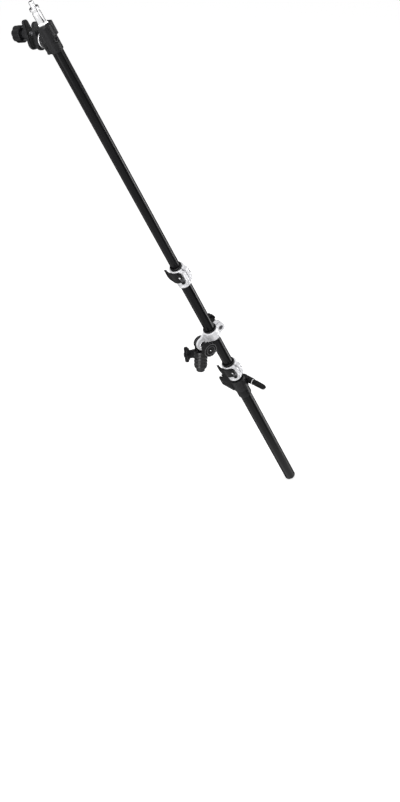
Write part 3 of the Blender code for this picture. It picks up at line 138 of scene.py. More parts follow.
def along(direction: Sequence[float], point: Sequence[float] = (0, 0, 0)) -> Matrix:
    """Stands a piece that is drawn along Z along another direction.

    Args:
        direction: The direction.
        point: Where the piece's origin goes.

    Returns:
        The matrix.
    """
    turn = Vector(direction).to_track_quat("Z", "Y").to_matrix().to_4x4()
    return Matrix.Translation(point) @ turn


ALONG_Y = Matrix(((1, 0, 0, 0), (0, 0, 1, 0), (0, -1, 0, 0), (0, 0, 0, 1)))

WORLD = Matrix.Identity(4)
PIVOT = shift(0, 0, PIVOT_HEIGHT)
ARM = (
    PIVOT
    @ shift(ARM_OFFSET * math.cos(TILT), -ARM_SIDE, ARM_OFFSET * math.sin(TILT))
    @ Matrix.Rotation(-TILT, 4, "Y")
)
UPPER_LOCK_PLACE = ARM @ shift(0, 0, UPPER_LOCK) @ turn_z(LOCK_ROLL)
LOWER_LOCK_PLACE = ARM @ shift(0, 0, LOWER_LOCK) @ turn_z(LOCK_ROLL)
LOWER_CLAMP_PLACE = ARM @ shift(0, 0, LOWER_CLAMP) @ turn_z(LOWER_CLAMP_ROLL)
HEAD_PLACE = ARM @ shift(0, 0, HEAD) @ turn_z(HEAD_ROLL)
HEAD_CLAMP_PLACE = HEAD_PLACE @ Matrix.Rotation(HEAD_CLAMP_TURN, 4, "Y")


class Pattern(Enum):
    """The way a surface is worked."""

    CAST = "cast"
    PAINTED = "painted"
    DRAWN = "drawn"
    MOULDED = "moulded"
    MACHINED = "machined"
    RUBBER = "rubber"


@dataclass(frozen=True)
class Texture:
    """The fine relief of a worked surface.

    Attributes:
        grain: Cells of the fine noise in a metre, across and along the piece.
        relief: Height of the grain in metres.
        detail: Octaves of the fine noise.
        mottle: Cells of the broad tone noise in a metre, across and along.
    """

    grain: tuple[float, float, float]
    relief: float
    detail: float
    mottle: tuple[float, float, float]


TEXTURES: dict[Pattern, Texture] = {
    Pattern.CAST: Texture(grain=(1500, 1500, 1500), relief=0.00006, detail=3.0, mottle=(90, 90, 90)),
    Pattern.PAINTED: Texture(grain=(900, 900, 900), relief=0.00004, detail=2.0, mottle=(60, 60, 60)),
    Pattern.DRAWN: Texture(grain=(2600, 2600, 14), relief=0.000012, detail=2.0, mottle=(120, 120, 7)),
    Pattern.MOULDED: Texture(grain=(1900, 1900, 1900), relief=0.00005, detail=2.0, mottle=(70, 70, 70)),
    Pattern.MACHINED: Texture(grain=(160, 160, 5200), relief=0.000003, detail=2.0, mottle=(60, 60, 300)),
    Pattern.RUBBER: Texture(grain=(1300, 1300, 1300), relief=0.00008, detail=4.0, mottle=(80, 80, 80)),
}


@dataclass(frozen=True)
class Clouds:
    """How the broad noise of a finish is read.

    Attributes:
        detail: Octaves of the noise.
        rough: Noise values of the lowest and of the highest roughness.
        tones: Noise values of the main tone and of the second one.
        rubbed: Sharpness of an edge where rubbing starts and where it is full.
    """

    detail: float = 3.0
    rough: tuple[float, float] = (0.3, 0.7)
    tones: tuple[float, float] = (0.36, 0.66)
    rubbed: tuple[float, float] = (0.53, 0.66)


CLOUDS = Clouds()


@dataclass(frozen=True)
class Finish:
    """A surface finish, made once as a node material.

    Attributes:
        name: Name of the material.
        slot: Material slot of the record that it stands for.
        pattern: The way that the surface is worked.
        colour: Main tone.
        shade: Second tone, in soft clouds or streaks.
        worn: Tone of the rubbed edges.
        wear: How far the rubbing goes, from 0 to 1.
        roughness: Lowest and highest roughness.
        metallic: Metallic share.
        gloss: Strength of the white gloss over the colour. Bare plastic has 0.5.
        rim: Brightness of a metal seen edge-on.
        lie: Turn from the object's axes to those of the grain, as Euler angles.
    """

    name: str
    slot: str
    pattern: Pattern
    colour: Colour
    shade: Colour
    worn: Colour
    wear: float
    roughness: tuple[float, float]
    metallic: float
    gloss: float = 0.5
    rim: float = 1.0
    lie: tuple[float, float, float] = ALONG_ARM

    def material(self) -> bpy.types.Material:
        """The node material of this finish.

        Returns:
            The material, which is made the first time and found again later.
        """
        found = bpy.data.materials.get(self.name)
        if found:
            return found
        made = bpy.data.materials.new(self.name)
        made.use_nodes = True
        nodes = made.node_tree.nodes
        links = made.node_tree.links
        shader = nodes["Principled BSDF"]
        shader.inputs["Metallic"].default_value = self.metallic
        shader.inputs["Specular IOR Level"].default_value = self.gloss
        shader.inputs["Specular Tint"].default_value = (self.rim, self.rim, self.rim, 1)
        texture = TEXTURES[self.pattern]
        grain = self._noise(made, texture.grain, texture.detail)
        mottle = self._noise(made, texture.mottle, CLOUDS.detail)
        tone = self._mix(made, mottle, self.colour, self.shade)
        rubbed = self._wear(made, mottle)
        worn = nodes.new("ShaderNodeMix")
        worn.data_type = "RGBA"
        links.new(rubbed, worn.inputs["Factor"])
        links.new(tone, worn.inputs[FIRST_COLOUR])
        worn.inputs[SECOND_COLOUR].default_value = (*self.worn, 1)
        links.new(worn.outputs[MIXED_COLOUR], shader.inputs["Base Color"])
        rough = nodes.new("ShaderNodeMapRange")
        rough.inputs["From Min"].default_value = CLOUDS.rough[0]
        rough.inputs["From Max"].default_value = CLOUDS.rough[1]
        rough.inputs["To Min"].default_value = self.roughness[0]
        rough.inputs["To Max"].default_value = self.roughness[1]
        links.new(mottle, rough.inputs["Value"])
        links.new(rough.outputs["Result"], shader.inputs["Roughness"])
        bump = nodes.new("ShaderNodeBump")
        bump.inputs["Strength"].default_value = 1.0
        bump.inputs["Distance"].default_value = texture.relief
        links.new(grain, bump.inputs["Height"])
        links.new(bump.outputs["Normal"], shader.inputs["Normal"])
        return made

    def _noise(
        self, made: bpy.types.Material, scale: Sequence[float], detail: float
    ) -> bpy.types.NodeSocket:
        """A noise in the object's own coordinates, turned to the piece's axes.

        Args:
            made: The material.
            scale: Cells in a metre along each of the piece's axes.
            detail: Octaves of the noise.

        Returns:
            The noise's value socket.
        """
        nodes = made.node_tree.nodes
        links = made.node_tree.links
        place = nodes.new("ShaderNodeTexCoord")
        turn = nodes.new("ShaderNodeMapping")
        turn.vector_type = "POINT"
        turn.inputs["Rotation"].default_value = self.lie
        stretch = nodes.new("ShaderNodeVectorMath")
        stretch.operation = "MULTIPLY"
        stretch.inputs[1].default_value = scale
        noise = nodes.new("ShaderNodeTexNoise")
        noise.inputs["Scale"].default_value = 1.0
        noise.inputs["Detail"].default_value = detail
        links.new(place.outputs["Object"], turn.inputs["Vector"])
        links.new(turn.outputs["Vector"], stretch.inputs[0])
        links.new(stretch.outputs["Vector"], noise.inputs["Vector"])
        return noise.outputs["Fac"]

    def _mix(
        self, made: bpy.types.Material, share: bpy.types.NodeSocket, first: Colour, second: Colour
    ) -> bpy.types.NodeSocket:
        """Two tones mixed by a noise.

        Args:
            made: The material.
            share: The noise.
            first: Tone where the noise is low.
            second: Tone where it is high.

        Returns:
            The colour socket.
        """
        ramp = made.node_tree.nodes.new("ShaderNodeValToRGB")
        ramp.color_ramp.elements[0].position = CLOUDS.tones[0]
        ramp.color_ramp.elements[0].color = (*first, 1)
        ramp.color_ramp.elements[1].position = CLOUDS.tones[1]
        ramp.color_ramp.elements[1].color = (*second, 1)
        made.node_tree.links.new(share, ramp.inputs["Fac"])
        return ramp.outputs["Color"]

    def _wear(self, made: bpy.types.Material, mottle: bpy.types.NodeSocket) -> bpy.types.NodeSocket:
        """Rubbed edges: the surface's sharpness, broken up by the mottle.

        Args:
            made: The material.
            mottle: The broad noise.

        Returns:
            The factor socket.
        """
        nodes = made.node_tree.nodes
        links = made.node_tree.links
        geometry = nodes.new("ShaderNodeNewGeometry")
        edge = nodes.new("ShaderNodeMapRange")
        edge.inputs["From Min"].default_value = CLOUDS.rubbed[0]
        edge.inputs["From Max"].default_value = CLOUDS.rubbed[1]
        edge.inputs["To Max"].default_value = self.wear
        links.new(geometry.outputs["Pointiness"], edge.inputs["Value"])
        broken = nodes.new("ShaderNodeMath")
        broken.operation = "MULTIPLY"
        links.new(edge.outputs["Result"], broken.inputs[0])
        links.new(mottle, broken.inputs[1])
        return broken.outputs["Value"]


ALUMINIUM = Finish(
    "cast_aluminium",
    "aluminium",
    Pattern.CAST,
    colour=(0.80, 0.80, 0.82),
    shade=(0.71, 0.71, 0.73),
    worn=(0.90, 0.90, 0.91),
    wear=0.8,
    roughness=(0.34, 0.46),
    metallic=0.25,
    gloss=0.3,
    rim=0.5,
)
BLACK_PAINT = Finish(
    "black_enamel",
    "black_paint",
    Pattern.PAINTED,
    colour=(0.006, 0.006, 0.007),
    shade=(0.011, 0.011, 0.012),
    worn=(0.06, 0.06, 0.065),
    wear=0.5,
    roughness=(0.36, 0.48),
    metallic=0.0,
    gloss=0.18,
)
GLOSS_PAINT = Finish(
    "glossy_black_enamel",
    "black_paint",
    Pattern.PAINTED,
    colour=(0.004, 0.004, 0.0045),
    shade=(0.008, 0.008, 0.009),
    worn=(0.06, 0.06, 0.065),
    wear=0.5,
    roughness=(0.18, 0.28),
    metallic=0.0,
    gloss=0.3,
)
BLACK_TUBE = Finish(
    "black_anodised_tube",
    "black_tube",
    Pattern.DRAWN,
    colour=(0.003, 0.003, 0.0035),
    shade=(0.006, 0.006, 0.007),
    worn=(0.16, 0.16, 0.17),
    wear=0.4,
    roughness=(0.18, 0.26),
    metallic=0.0,
    gloss=0.12,
)
BLACK_PLASTIC = Finish(
    "black_moulding",
    "black_plastic",
    Pattern.MOULDED,
    colour=(0.003, 0.003, 0.0035),
    shade=(0.006, 0.006, 0.007),
    worn=(0.05, 0.05, 0.055),
    wear=0.6,
    roughness=(0.26, 0.38),
    metallic=0.0,
    gloss=0.15,
)
STEEL = Finish(
    "turned_steel",
    "steel",
    Pattern.MACHINED,
    colour=(0.86, 0.86, 0.87),
    shade=(0.78, 0.78, 0.79),
    worn=(0.93, 0.93, 0.93),
    wear=0.7,
    roughness=(0.05, 0.10),
    metallic=0.95,
    rim=0.3,
)
CROSS_STEEL = replace(STEEL, name="turned_steel_across", lie=ACROSS_ARM)
BRIGHT_RING = Finish(
    "polished_aluminium",
    "aluminium",
    Pattern.MACHINED,
    colour=(0.90, 0.90, 0.91),
    shade=(0.84, 0.84, 0.85),
    worn=(0.97, 0.97, 0.97),
    wear=0.6,
    roughness=(0.16, 0.26),
    metallic=0.9,
    lie=ACROSS_ARM,
)
DARK_STEEL = Finish(
    "blackened_steel",
    "dark_steel",
    Pattern.MACHINED,
    colour=(0.045, 0.045, 0.05),
    shade=(0.075, 0.075, 0.08),
    worn=(0.34, 0.34, 0.35),
    wear=0.7,
    roughness=(0.32, 0.46),
    metallic=0.8,
    lie=ACROSS_ARM,
)
BLACK_OXIDE = Finish(
    "black_oxide_steel",
    "dark_steel",
    Pattern.MACHINED,
    colour=(0.008, 0.008, 0.009),
    shade=(0.014, 0.014, 0.015),
    worn=(0.06, 0.06, 0.065),
    wear=0.5,
    roughness=(0.40, 0.52),
    metallic=0.0,
    gloss=0.15,
    lie=ACROSS_ARM,
)
BRASS = Finish(
    "turned_brass",
    "brass",
    Pattern.MACHINED,
    colour=(0.66, 0.46, 0.17),
    shade=(0.55, 0.37, 0.13),
    worn=(0.85, 0.66, 0.30),
    wear=0.6,
    roughness=(0.24, 0.36),
    metallic=1.0,
    lie=ACROSS_ARM,
)
# Lighter black moulding of the tilt knob's raised rims: the rims are real relief, and their lighter tone
# is a painted highlight along the rings of its face
PAINTED_HIGHLIGHT_PLASTIC = Finish(
    "painted_highlight_moulding",
    "black_plastic",
    Pattern.MOULDED,
    colour=(0.060, 0.060, 0.063),
    shade=(0.085, 0.085, 0.088),
    worn=(0.12, 0.12, 0.125),
    wear=0.6,
    roughness=(0.30, 0.42),
    metallic=0.0,
    gloss=0.3,
)
RUBBER = Finish(
    "black_rubber",
    "rubber",
    Pattern.RUBBER,
    colour=(0.008, 0.008, 0.008),
    shade=(0.014, 0.014, 0.014),
    worn=(0.04, 0.04, 0.04),
    wear=0.6,
    roughness=(0.70, 0.88),
    metallic=0.0,
    gloss=0.2,
)

FINISH_OF_SLOT: dict[str, Finish] = {
    finish.slot: finish
    for finish in (ALUMINIUM, BLACK_PAINT, BLACK_TUBE, BLACK_PLASTIC, STEEL, DARK_STEEL, BRASS, RUBBER)
}


def rounded(
    outline: Sequence[Point],
    radius: float,
    steps: int = 3,
    straight: float = math.radians(165),
    largest: float = 0.45,
) -> list[Point]:
    """A closed outline with its corners rounded.

    Args:
        outline: Corners, in order.
        radius: How far each rounding reaches along the sides.
        steps: Pieces of each rounding.
        straight: Angle between two sides past which their corner is left alone.
        largest: Share of a side that a rounding may take up.

    Returns:
        The points of the rounded outline.
    """
    result: list[Point] = []
    count = len(outline)
    for index, corner in enumerate(outline):
        here = Vector(corner)
        back = Vector(outline[index - 1]) - here
        ahead = Vector(outline[(index + 1) % count]) - here
        if back.angle(ahead) > straight:
            result.append(corner)
            continue
        reach = min(radius, largest * back.length, largest * ahead.length)
        start = here + back.normalized() * reach
        end = here + ahead.normalized() * reach
        for step in range(steps + 1):
            share = step / steps
            point = start * (1 - share) ** 2 + here * 2 * share * (1 - share) + end * share**2
            result.append((point.x, point.y))
    return result


def turned_outline(outline: Sequence[Point], radius: float) -> list[Point]:
    """A turned piece's outline with its corners rounded, and its points on the axis left there.

    Args:
        outline: (radius, height) points.
        radius: Reach of the roundings.

    Returns:
        The points of the rounded outline.
    """
    on_axis = [point for point in outline if point[0] <= ON_AXIS]
    soft = rounded(outline, radius)
    if not on_axis:
        return soft
    # What is nearer to the axis than this comes from the roundings of the corners on it
    nearest = radius * 0.6
    kept = [point for point in soft if point[0] > nearest]
    return [on_axis[0], *kept, on_axis[-1]]


def finished(bm: bmesh.types.BMesh) -> bmesh.types.BMesh:
    """The bmesh with doubles merged and its faces turned outwards."""
    bmesh.ops.remove_doubles(bm, verts=bm.verts, dist=MERGE)
    bmesh.ops.recalc_face_normals(bm, faces=bm.faces)
    return bm


def lathe(
    outline: Sequence[Point], soften: float = 0.0, segments: int = ROUND
) -> bmesh.types.BMesh:
    """A solid of revolution about Z.

    Args:
        outline: Closed outline of (radius, height) points. One that touches the axis starts at its
            lower point there and ends at its upper one.
        soften: Reach of the roundings of its corners.
        segments: Steps round the axis.

    Returns:
        The closed mesh.
    """
    points = turned_outline(outline, soften) if soften else list(outline)
    angles = [2 * math.pi * step / segments for step in range(segments)]
    bm = bmesh.new()
    rings = []
    for radius, height in points:
        if radius <= ON_AXIS:
            rings.append([bm.verts.new((0, 0, height))])
            continue
        circle = [(radius * math.cos(angle), radius * math.sin(angle), height) for angle in angles]
        rings.append([bm.verts.new(point) for point in circle])
    for lower, upper in zip(rings, rings[1:] + rings[:1]):
        if len(lower) == 1 and len(upper) == 1:
            continue
        for step in range(segments):
            after = (step + 1) % segments
            corners = [
                lower[step % len(lower)],
                lower[after % len(lower)],
                upper[after % len(upper)],
                upper[step % len(upper)],
            ]
            bm.faces.new(list(dict.fromkeys(corners)))
    return finished(bm)


def cylinder(
    radius: float, low: float, high: float, soften: float = 0.0, segments: int = SMALL_ROUND
) -> bmesh.types.BMesh:
    """A closed cylinder along Z.

    Args:
        radius: Its radius.
        low: Level of its lower face.
        high: Level of its upper face.
        soften: Reach of the roundings of its rims.
        segments: Steps round the axis.

    Returns:
        The cylinder.
    """
    return lathe([(0, low), (radius, low), (radius, high), (0, high)], soften, segments)


def prism(outline: Sequence[Point], low: float, high: float, soften: float = 0.0) -> bmesh.types.BMesh:
    """A prism along Z with softened rims.

    Args:
        outline: Closed outline of (x, y) points.
        low: Its lower level.
        high: Its upper level.
        soften: Width of the rounding of both rims.

    Returns:
        The closed mesh.
    """
    bm = bmesh.new()
    face = bm.faces.new([bm.verts.new((x, y, low)) for x, y in outline])
    made = bmesh.ops.extrude_face_region(bm, geom=[face])
    moved = [item for item in made["geom"] if isinstance(item, bmesh.types.BMVert)]
    bmesh.ops.translate(bm, verts=moved, vec=(0, 0, high - low))
    finished(bm)
    if soften:
        rims = [edge for edge in bm.edges if edge.verts[0].co.z == edge.verts[1].co.z]
        bmesh.ops.bevel(bm, geom=rims, offset=soften, segments=3, profile=0.5, affect="EDGES")
        finished(bm)
    return bm


def box_outline(low: Point, high: Point) -> list[Point]:
    """The corners of a rectangle, from its lower left to its upper right one."""
    return [low, (high[0], low[1]), high, (low[0], high[1])]


def arc(centre: Point, radius: float, start: float, end: float, steps: int) -> list[Point]:
    """Points of an arc about a centre.

    Args:
        centre: The centre.
        radius: The radius.
        start: Angle of its first point.
        end: Angle of its last point.
        steps: Pieces of the arc.

    Returns:
        The points, both ends included.
    """
    angles = [start + (end - start) * step / steps for step in range(steps + 1)]
    return [(centre[0] + radius * math.cos(a), centre[1] + radius * math.sin(a)) for a in angles]


def hexagon(radius: float, low: float, high: float, soften: float = 0.0) -> bmesh.types.BMesh:
    """A hexagonal prism along Z.

    Args:
        radius: To its corners.
        low: Level of its lower face.
        high: Level of its upper face.
        soften: Width of the rounding of both rims.

    Returns:
        The closed prism.
    """
    return prism(arc((0, 0), radius, 0, 2 * math.pi, 6)[:-1], low, high, soften)


def placed(bm: bmesh.types.BMesh, matrix: Matrix) -> bmesh.types.BMesh:
    """The bmesh moved by a matrix."""
    bmesh.ops.transform(bm, matrix=matrix, verts=bm.verts)
    return bm


def joined(*parts: bmesh.types.BMesh) -> bmesh.types.BMesh:
    """Several bmeshes in one. They are used up."""
    whole = bmesh.new()
    for part in parts:
        mesh = to_mesh(part)
        whole.from_mesh(mesh)
        bpy.data.meshes.remove(mesh)
    return whole


def to_mesh(bm: bmesh.types.BMesh, name: str = "shape") -> bpy.types.Mesh:
    """A mesh of a bmesh, which is used up."""
    mesh = bpy.data.meshes.new(name)
    bm.to_mesh(mesh)
    bm.free()
    return mesh


def evaluated(
    bm: bmesh.types.BMesh,
    set_up: Callable[[bpy.types.Object], None],
    tools: Sequence[bpy.types.Object] = (),
) -> bmesh.types.BMesh:
    """A bmesh after modifiers.

    Args:
        bm: The shape, which is used up.
        set_up: Adds the modifiers to the object that it is given.
        tools: Objects that the modifiers use. They are removed afterwards.

    Returns:
        The result as a bmesh.
    """
    holder = bpy.data.objects.new("holder", to_mesh(bm))
    bpy.context.scene.collection.objects.link(holder)
    set_up(holder)
    graph = bpy.context.evaluated_depsgraph_get()
    result = bpy.data.meshes.new_from_object(holder.evaluated_get(graph), depsgraph=graph)
    made = bmesh.new()
    made.from_mesh(result)
    bpy.data.meshes.remove(result)
    for item in [holder, *tools]:
        mesh = item.data
        bpy.data.objects.remove(item)
        bpy.data.meshes.remove(mesh)
    return made


def boolean(
    bm: bmesh.types.BMesh,
    cut: Sequence[bmesh.types.BMesh] = (),
    add: Sequence[bmesh.types.BMesh] = (),
) -> bmesh.types.BMesh:
    """A shape with others joined to it and then cut from it.

    Args:
        bm: The first shape.
        cut: Shapes to cut away.
        add: Shapes to join.

    Returns:
        The closed result.
    """
    tools: list[bpy.types.Object] = []

    def set_up(holder: bpy.types.Object) -> None:
        """Adds one Boolean for each tool."""
        for operation, shapes in (("UNION", add), ("DIFFERENCE", cut)):
            for shape in shapes:
                tool = bpy.data.objects.new("tool", to_mesh(shape))
                bpy.context.scene.collection.objects.link(tool)
                tools.append(tool)
                modifier = holder.modifiers.new(operation.lower(), "BOOLEAN")
                modifier.operation = operation
                modifier.solver = "MANIFOLD"
                modifier.object = tool

    return evaluated(bm, set_up, tools)


def relaxed(bm: bmesh.types.BMesh, voxel: float, passes: int) -> bmesh.types.BMesh:
    """A shape with overlapping bodies fused and its edges softened, as a casting's.

    Args:
        bm: The shape.
        voxel: Size of the new faces.
        passes: Rounds of smoothing.

    Returns:
        The softened shape.
    """

    def set_up(holder: bpy.types.Object) -> None:
        """Adds the remesh and the smoothing."""
        remesh = holder.modifiers.new("remesh", "REMESH")
        remesh.mode = "VOXEL"
        remesh.voxel_size = voxel
        smooth = holder.modifiers.new("smooth", "SMOOTH")
        smooth.factor = 0.5
        smooth.iterations = passes

    return evaluated(bm, set_up)


def solid_of(node: str, place: Matrix) -> bmesh.types.BMesh:
    """A merged copy of a frame's solid, in the axes of its sub-assembly.

    Args:
        node: Name of the frame's node.
        place: The sub-assembly's frame.

    Returns:
        The copy.
    """
    bm = bmesh.new()
    bm.from_mesh(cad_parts[node].data)
    bmesh.ops.remove_doubles(bm, verts=bm.verts, dist=SOLID_MERGE)
    return placed(bm, place.inverted())


def show(
    name: str,
    bm: bmesh.types.BMesh,
    place: Matrix,
    finish: Finish,
    body: str,
    replaced: Sequence[str] = (),
    crease: float = 35.0,
) -> bpy.types.Object:
    """Puts a finished shape on its body.

    Args:
        name: Name of the piece.
        bm: Its shape, in the axes of its sub-assembly.
        place: The sub-assembly's frame.
        finish: Its finish.
        body: The body that it rides on.
        replaced: Nodes that it stands for.
        crease: Angle in degrees past which an edge is shaded sharp.

    Returns:
        The piece.
    """
    mesh = to_mesh(placed(bm, place), name)
    mesh.materials.clear()
    mesh.materials.append(finish.material())
    for polygon in mesh.polygons:
        polygon.material_index = 0
    mesh.shade_smooth()
    mesh.set_sharp_from_angle(angle=math.radians(crease))
    piece = bpy.data.objects.new(name, mesh)
    bpy.context.scene.collection.objects.link(piece)
    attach(piece, body)
    if replaced:
        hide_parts(*replaced)
    LOG.info("%s: %d faces on %s", name, len(mesh.polygons), body)
    return piece


class Tree:
    """A Geometry Nodes tree with named inputs, used as a modifier and baked to a plain mesh."""

    def __init__(self, name: str, sizes: dict[str, float]) -> None:
        """Starts a tree.

        Args:
            name: Name of the tree.
            sizes: Its inputs by name, with their usual values. A whole number makes a count.
        """
        self.group = bpy.data.node_groups.new(name, "GeometryNodeTree")
        self.group.interface.new_socket("Geometry", in_out="OUTPUT", socket_type="NodeSocketGeometry")
        self.identifiers: dict[str, str] = {}
        for label, value in sizes.items():
            kind = "NodeSocketInt" if isinstance(value, int) else "NodeSocketFloat"
            socket = self.group.interface.new_socket(label, in_out="INPUT", socket_type=kind)
            socket.default_value = value
            self.identifiers[label] = socket.identifier
        self.source = self.group.nodes.new("NodeGroupInput")

    def size(self, label: str) -> bpy.types.NodeSocket:
        """The socket of a named input."""
        return self.source.outputs[label]

    def add(
        self, kind: str, settings: dict[str, object] | None = None, **inputs: object
    ) -> bpy.types.Node:
        """Adds a node.

        Args:
            kind: Type of the node.
            settings: Its properties.
            inputs: Its inputs by name, with spaces as underscores. A socket is linked, a number set.

        Returns:
            The node.
        """
        node = self.group.nodes.new(kind)
        for label, value in (settings or {}).items():
            setattr(node, label, value)
        for label, value in inputs.items():
            socket = node.inputs[label.replace("_", " ")]
            if isinstance(value, bpy.types.NodeSocket):
                self.group.links.new(value, socket)
            else:
                socket.default_value = value
        return node

    def close(self, geometry: bpy.types.NodeSocket, finish: Finish) -> None:
        """Ends the tree in real geometry with its material.

        Args:
            geometry: What the tree has made.
            finish: Its finish.
        """
        real = self.add("GeometryNodeRealizeInstances", Geometry=geometry)
        material = finish.material()
        dressed = self.add("GeometryNodeSetMaterial", Geometry=real.outputs[0], Material=material)
        output = self.group.nodes.new("NodeGroupOutput")
        self.group.links.new(dressed.outputs[0], output.inputs[0])

    def shape(self, sizes: dict[str, float]) -> bmesh.types.BMesh:
        """The tree's result for some sizes, as a bmesh.

        Args:
            sizes: Values of its inputs by name.

        Returns:
            The plain shape, in its own axes.
        """

        def set_up(holder: bpy.types.Object) -> None:
            """Adds the tree as a modifier, with its sizes."""
            modifier = holder.modifiers.new("tree", "NODES")
            modifier.node_group = self.group
            for label, value in sizes.items():
                modifier[self.identifiers[label]] = value

        return evaluated(bmesh.new(), set_up)


def thread_tree(finish: Finish, steps: int = 28) -> Tree:
    """A tree of a screw's thread: a sharp ridge that winds up about Z.

    Args:
        finish: Finish of the thread.
        steps: Steps in one turn.

    Returns:
        The tree.
    """
    turns = 8.0
    usual = {"Radius": M8 / 2, "Depth": M8_PITCH / 2, "Turns": turns, "Rise": turns * M8_PITCH}
    tree = Tree(f"thread_of_{finish.name}", usual)
    path = tree.add(
        "GeometryNodeCurveSpiral",
        Resolution=steps,
        Rotations=tree.size("Turns"),
        Start_Radius=tree.size("Radius"),
        End_Radius=tree.size("Radius"),
        Height=tree.size("Rise"),
    )
    section = tree.add(
        "GeometryNodeCurvePrimitiveCircle",
        {"mode": "RADIUS"},
        Resolution=4,
        Radius=tree.size("Depth"),
    )
    ridge = tree.add(
        "GeometryNodeCurveToMesh",
        Curve=path.outputs[0],
        Profile_Curve=section.outputs[0],
        Fill_Caps=True,
    )
    tree.close(ridge.outputs[0], finish)
    return tree


@dataclass(frozen=True)
class Screw:
    """A threaded shaft along Z.

    Attributes:
        diameter: Over the thread.
        low: Where the thread starts.
        high: Where it ends.
        pitch: Rise of one turn.
    """

    diameter: float
    low: float
    high: float
    pitch: float

    def depth(self) -> float:
        """Height of the thread's ridge."""
        return self.pitch * THREAD_SHARE

    def core(self) -> float:
        """Radius of the shaft under the thread."""
        return self.diameter / 2 - self.depth()

    def shape(self, tree: Tree) -> bmesh.types.BMesh:
        """The thread's ridge, without its core.

        Args:
            tree: The tree that winds a thread.

        Returns:
            The ridge, about Z.
        """
        depth = self.depth()
        rise = self.high - self.low - 2 * depth
        sizes = {"Radius": self.core(), "Depth": depth, "Turns": rise / self.pitch, "Rise": rise}
        return placed(tree.shape(sizes), shift(0, 0, self.low + depth))


@dataclass(frozen=True, kw_only=True)
class HandKnob:
    """A moulded knob along Z: a hub and a lobed head with a crowned, ringed face.

    Attributes:
        radius: Over the lobes.
        lobes: How many.
        depth: How deep the valleys are.
        head: Height of the head.
        hub: Height of the hub under it. With 0 there is none.
        hub_radius: Radius of the hub at its foot.
        hub_edge: Reach of the hub's roundings.
        crown: How far the face rises to its middle.
        soft: Radius of the head's rims.
        rings: Shares of the radius where the face has a groove.
        bore: Radius of the blind bore.
        bore_depth: Depth of the bore from the hub's foot.
        steps_per_lobe: Steps round one lobe.
        rim_steps: Steps of the head's upper and lower rounding.
        side_steps: Steps up its side.
        sole: Shares of the radius where the underside has a ring of points.
        face_step: Step of the radius' share from one ring of the face to the next.
    """

    radius: float
    lobes: int
    depth: float
    head: float
    hub: float = 0.0
    hub_radius: float = 0.0
    hub_edge: float = 0.0006
    crown: float
    soft: float
    rings: tuple[float, ...]
    bore: float
    bore_depth: float
    steps_per_lobe: int = 18
    rim_steps: int = 6
    side_steps: int = 5
    sole: tuple[float, ...] = (0.35, 0.6, 0.8, 0.92)
    face_step: float = 0.04

    def _reach(self, angle: float, inset: float, fade: float) -> float:
        """Radius of the head at an angle.

        Args:
            angle: The angle about Z.
            inset: How far the point lies inside the head's outline.
            fade: Share of the valleys' depth.

        Returns:
            The radius.
        """
        valley = (0.5 - 0.5 * math.cos(self.lobes * angle)) ** 2
        return self.radius - inset - self.depth * fade * valley

    def _levels(self) -> list[tuple[float, float, float]]:
        """(height, share of the radius, inset) rings of the head, from its underside to its middle."""
        low = self.hub
        high = self.hub + self.head
        sole_lift = self.soft * 0.15
        rim_lift = self.soft * 0.1
        under = self.soft * 0.7
        levels = [(low + sole_lift, share, 0.0) for share in self.sole]
        quarter = [math.pi / 2 * step / self.rim_steps for step in range(self.rim_steps + 1)]
        for angle in quarter:
            level = low + under * (1 - math.cos(angle)) + rim_lift
            levels.append((level, 1.0, under * (1 - math.sin(angle))))
        side = self.head - 2.2 * self.soft
        for step in range(1, self.side_steps):
            levels.append((low + self.soft + side * step / self.side_steps, 1.0, 0.0))
        for angle in quarter:
            level = high - self.soft * (1 - math.sin(angle))
            levels.append((level, 1.0, self.soft * (1 - math.cos(angle))))
        for step in range(1, round(1 / self.face_step)):
            share = 1 - self.face_step * step
            rise = self.crown * (1 - share**2)
            for ring in self.rings:
                rise -= RING_DEPTH * math.exp(-(((share - ring) / RING_WIDTH) ** 2))
            levels.append((high + rise, share, self.soft))
        return levels

    def rims(self, width: float = 0.0007) -> bmesh.types.BMesh:
        """Raised rims in the head's face, whose lighter tone paints the highlights of its rings.

        Args:
            width: Half width of a rim.

        Returns:
            The rims, half sunk in the face.
        """
        top = self.hub + self.head
        parts = []
        for share in self.rings:
            middle = self.radius * (share + RING_WIDTH * 2)
            level = top + self.crown * (1 - share**2)
            parts.append(lathe(arc((middle, level), width, 0, 2 * math.pi, 12)[:-1]))
        return joined(*parts)

    def _head(self) -> bmesh.types.BMesh:
        """The closed head, without its hub."""
        count = self.lobes * self.steps_per_lobe
        bm = bmesh.new()
        rings = []
        for height, share, inset in self._levels():
            points = []
            for step in range(count):
                angle = 2 * math.pi * step / count
                fade = 1.0 if share == 1.0 else share**3
                reach = self._reach(angle, inset, fade) * share
                points.append(bm.verts.new((reach * math.cos(angle), reach * math.sin(angle), height)))
            rings.append(points)
        for lower, upper in zip(rings, rings[1:]):
            for step in range(count):
                after = (step + 1) % count
                bm.faces.new((lower[step], lower[after], upper[after], upper[step]))
        bm.faces.new(rings[0][::-1])
        bm.faces.new(rings[-1])
        return finished(bm)

    def shape(self) -> bmesh.types.BMesh:
        """The closed knob with its hub and bore."""
        hole = cylinder(self.bore, -GAP, self.bore_depth)
        if not self.hub:
            return boolean(self._head(), cut=[hole])
        waist = self.hub_radius * 0.96
        root = self.hub_radius * 1.12
        top = self.hub + self.soft
        outline = [(0, 0), (self.hub_radius, 0), (waist, self.hub / 2), (root, top), (0, top)]
        neck = lathe(outline, self.hub_edge, SMALL_ROUND)
        return boolean(self._head(), add=[neck], cut=[hole])


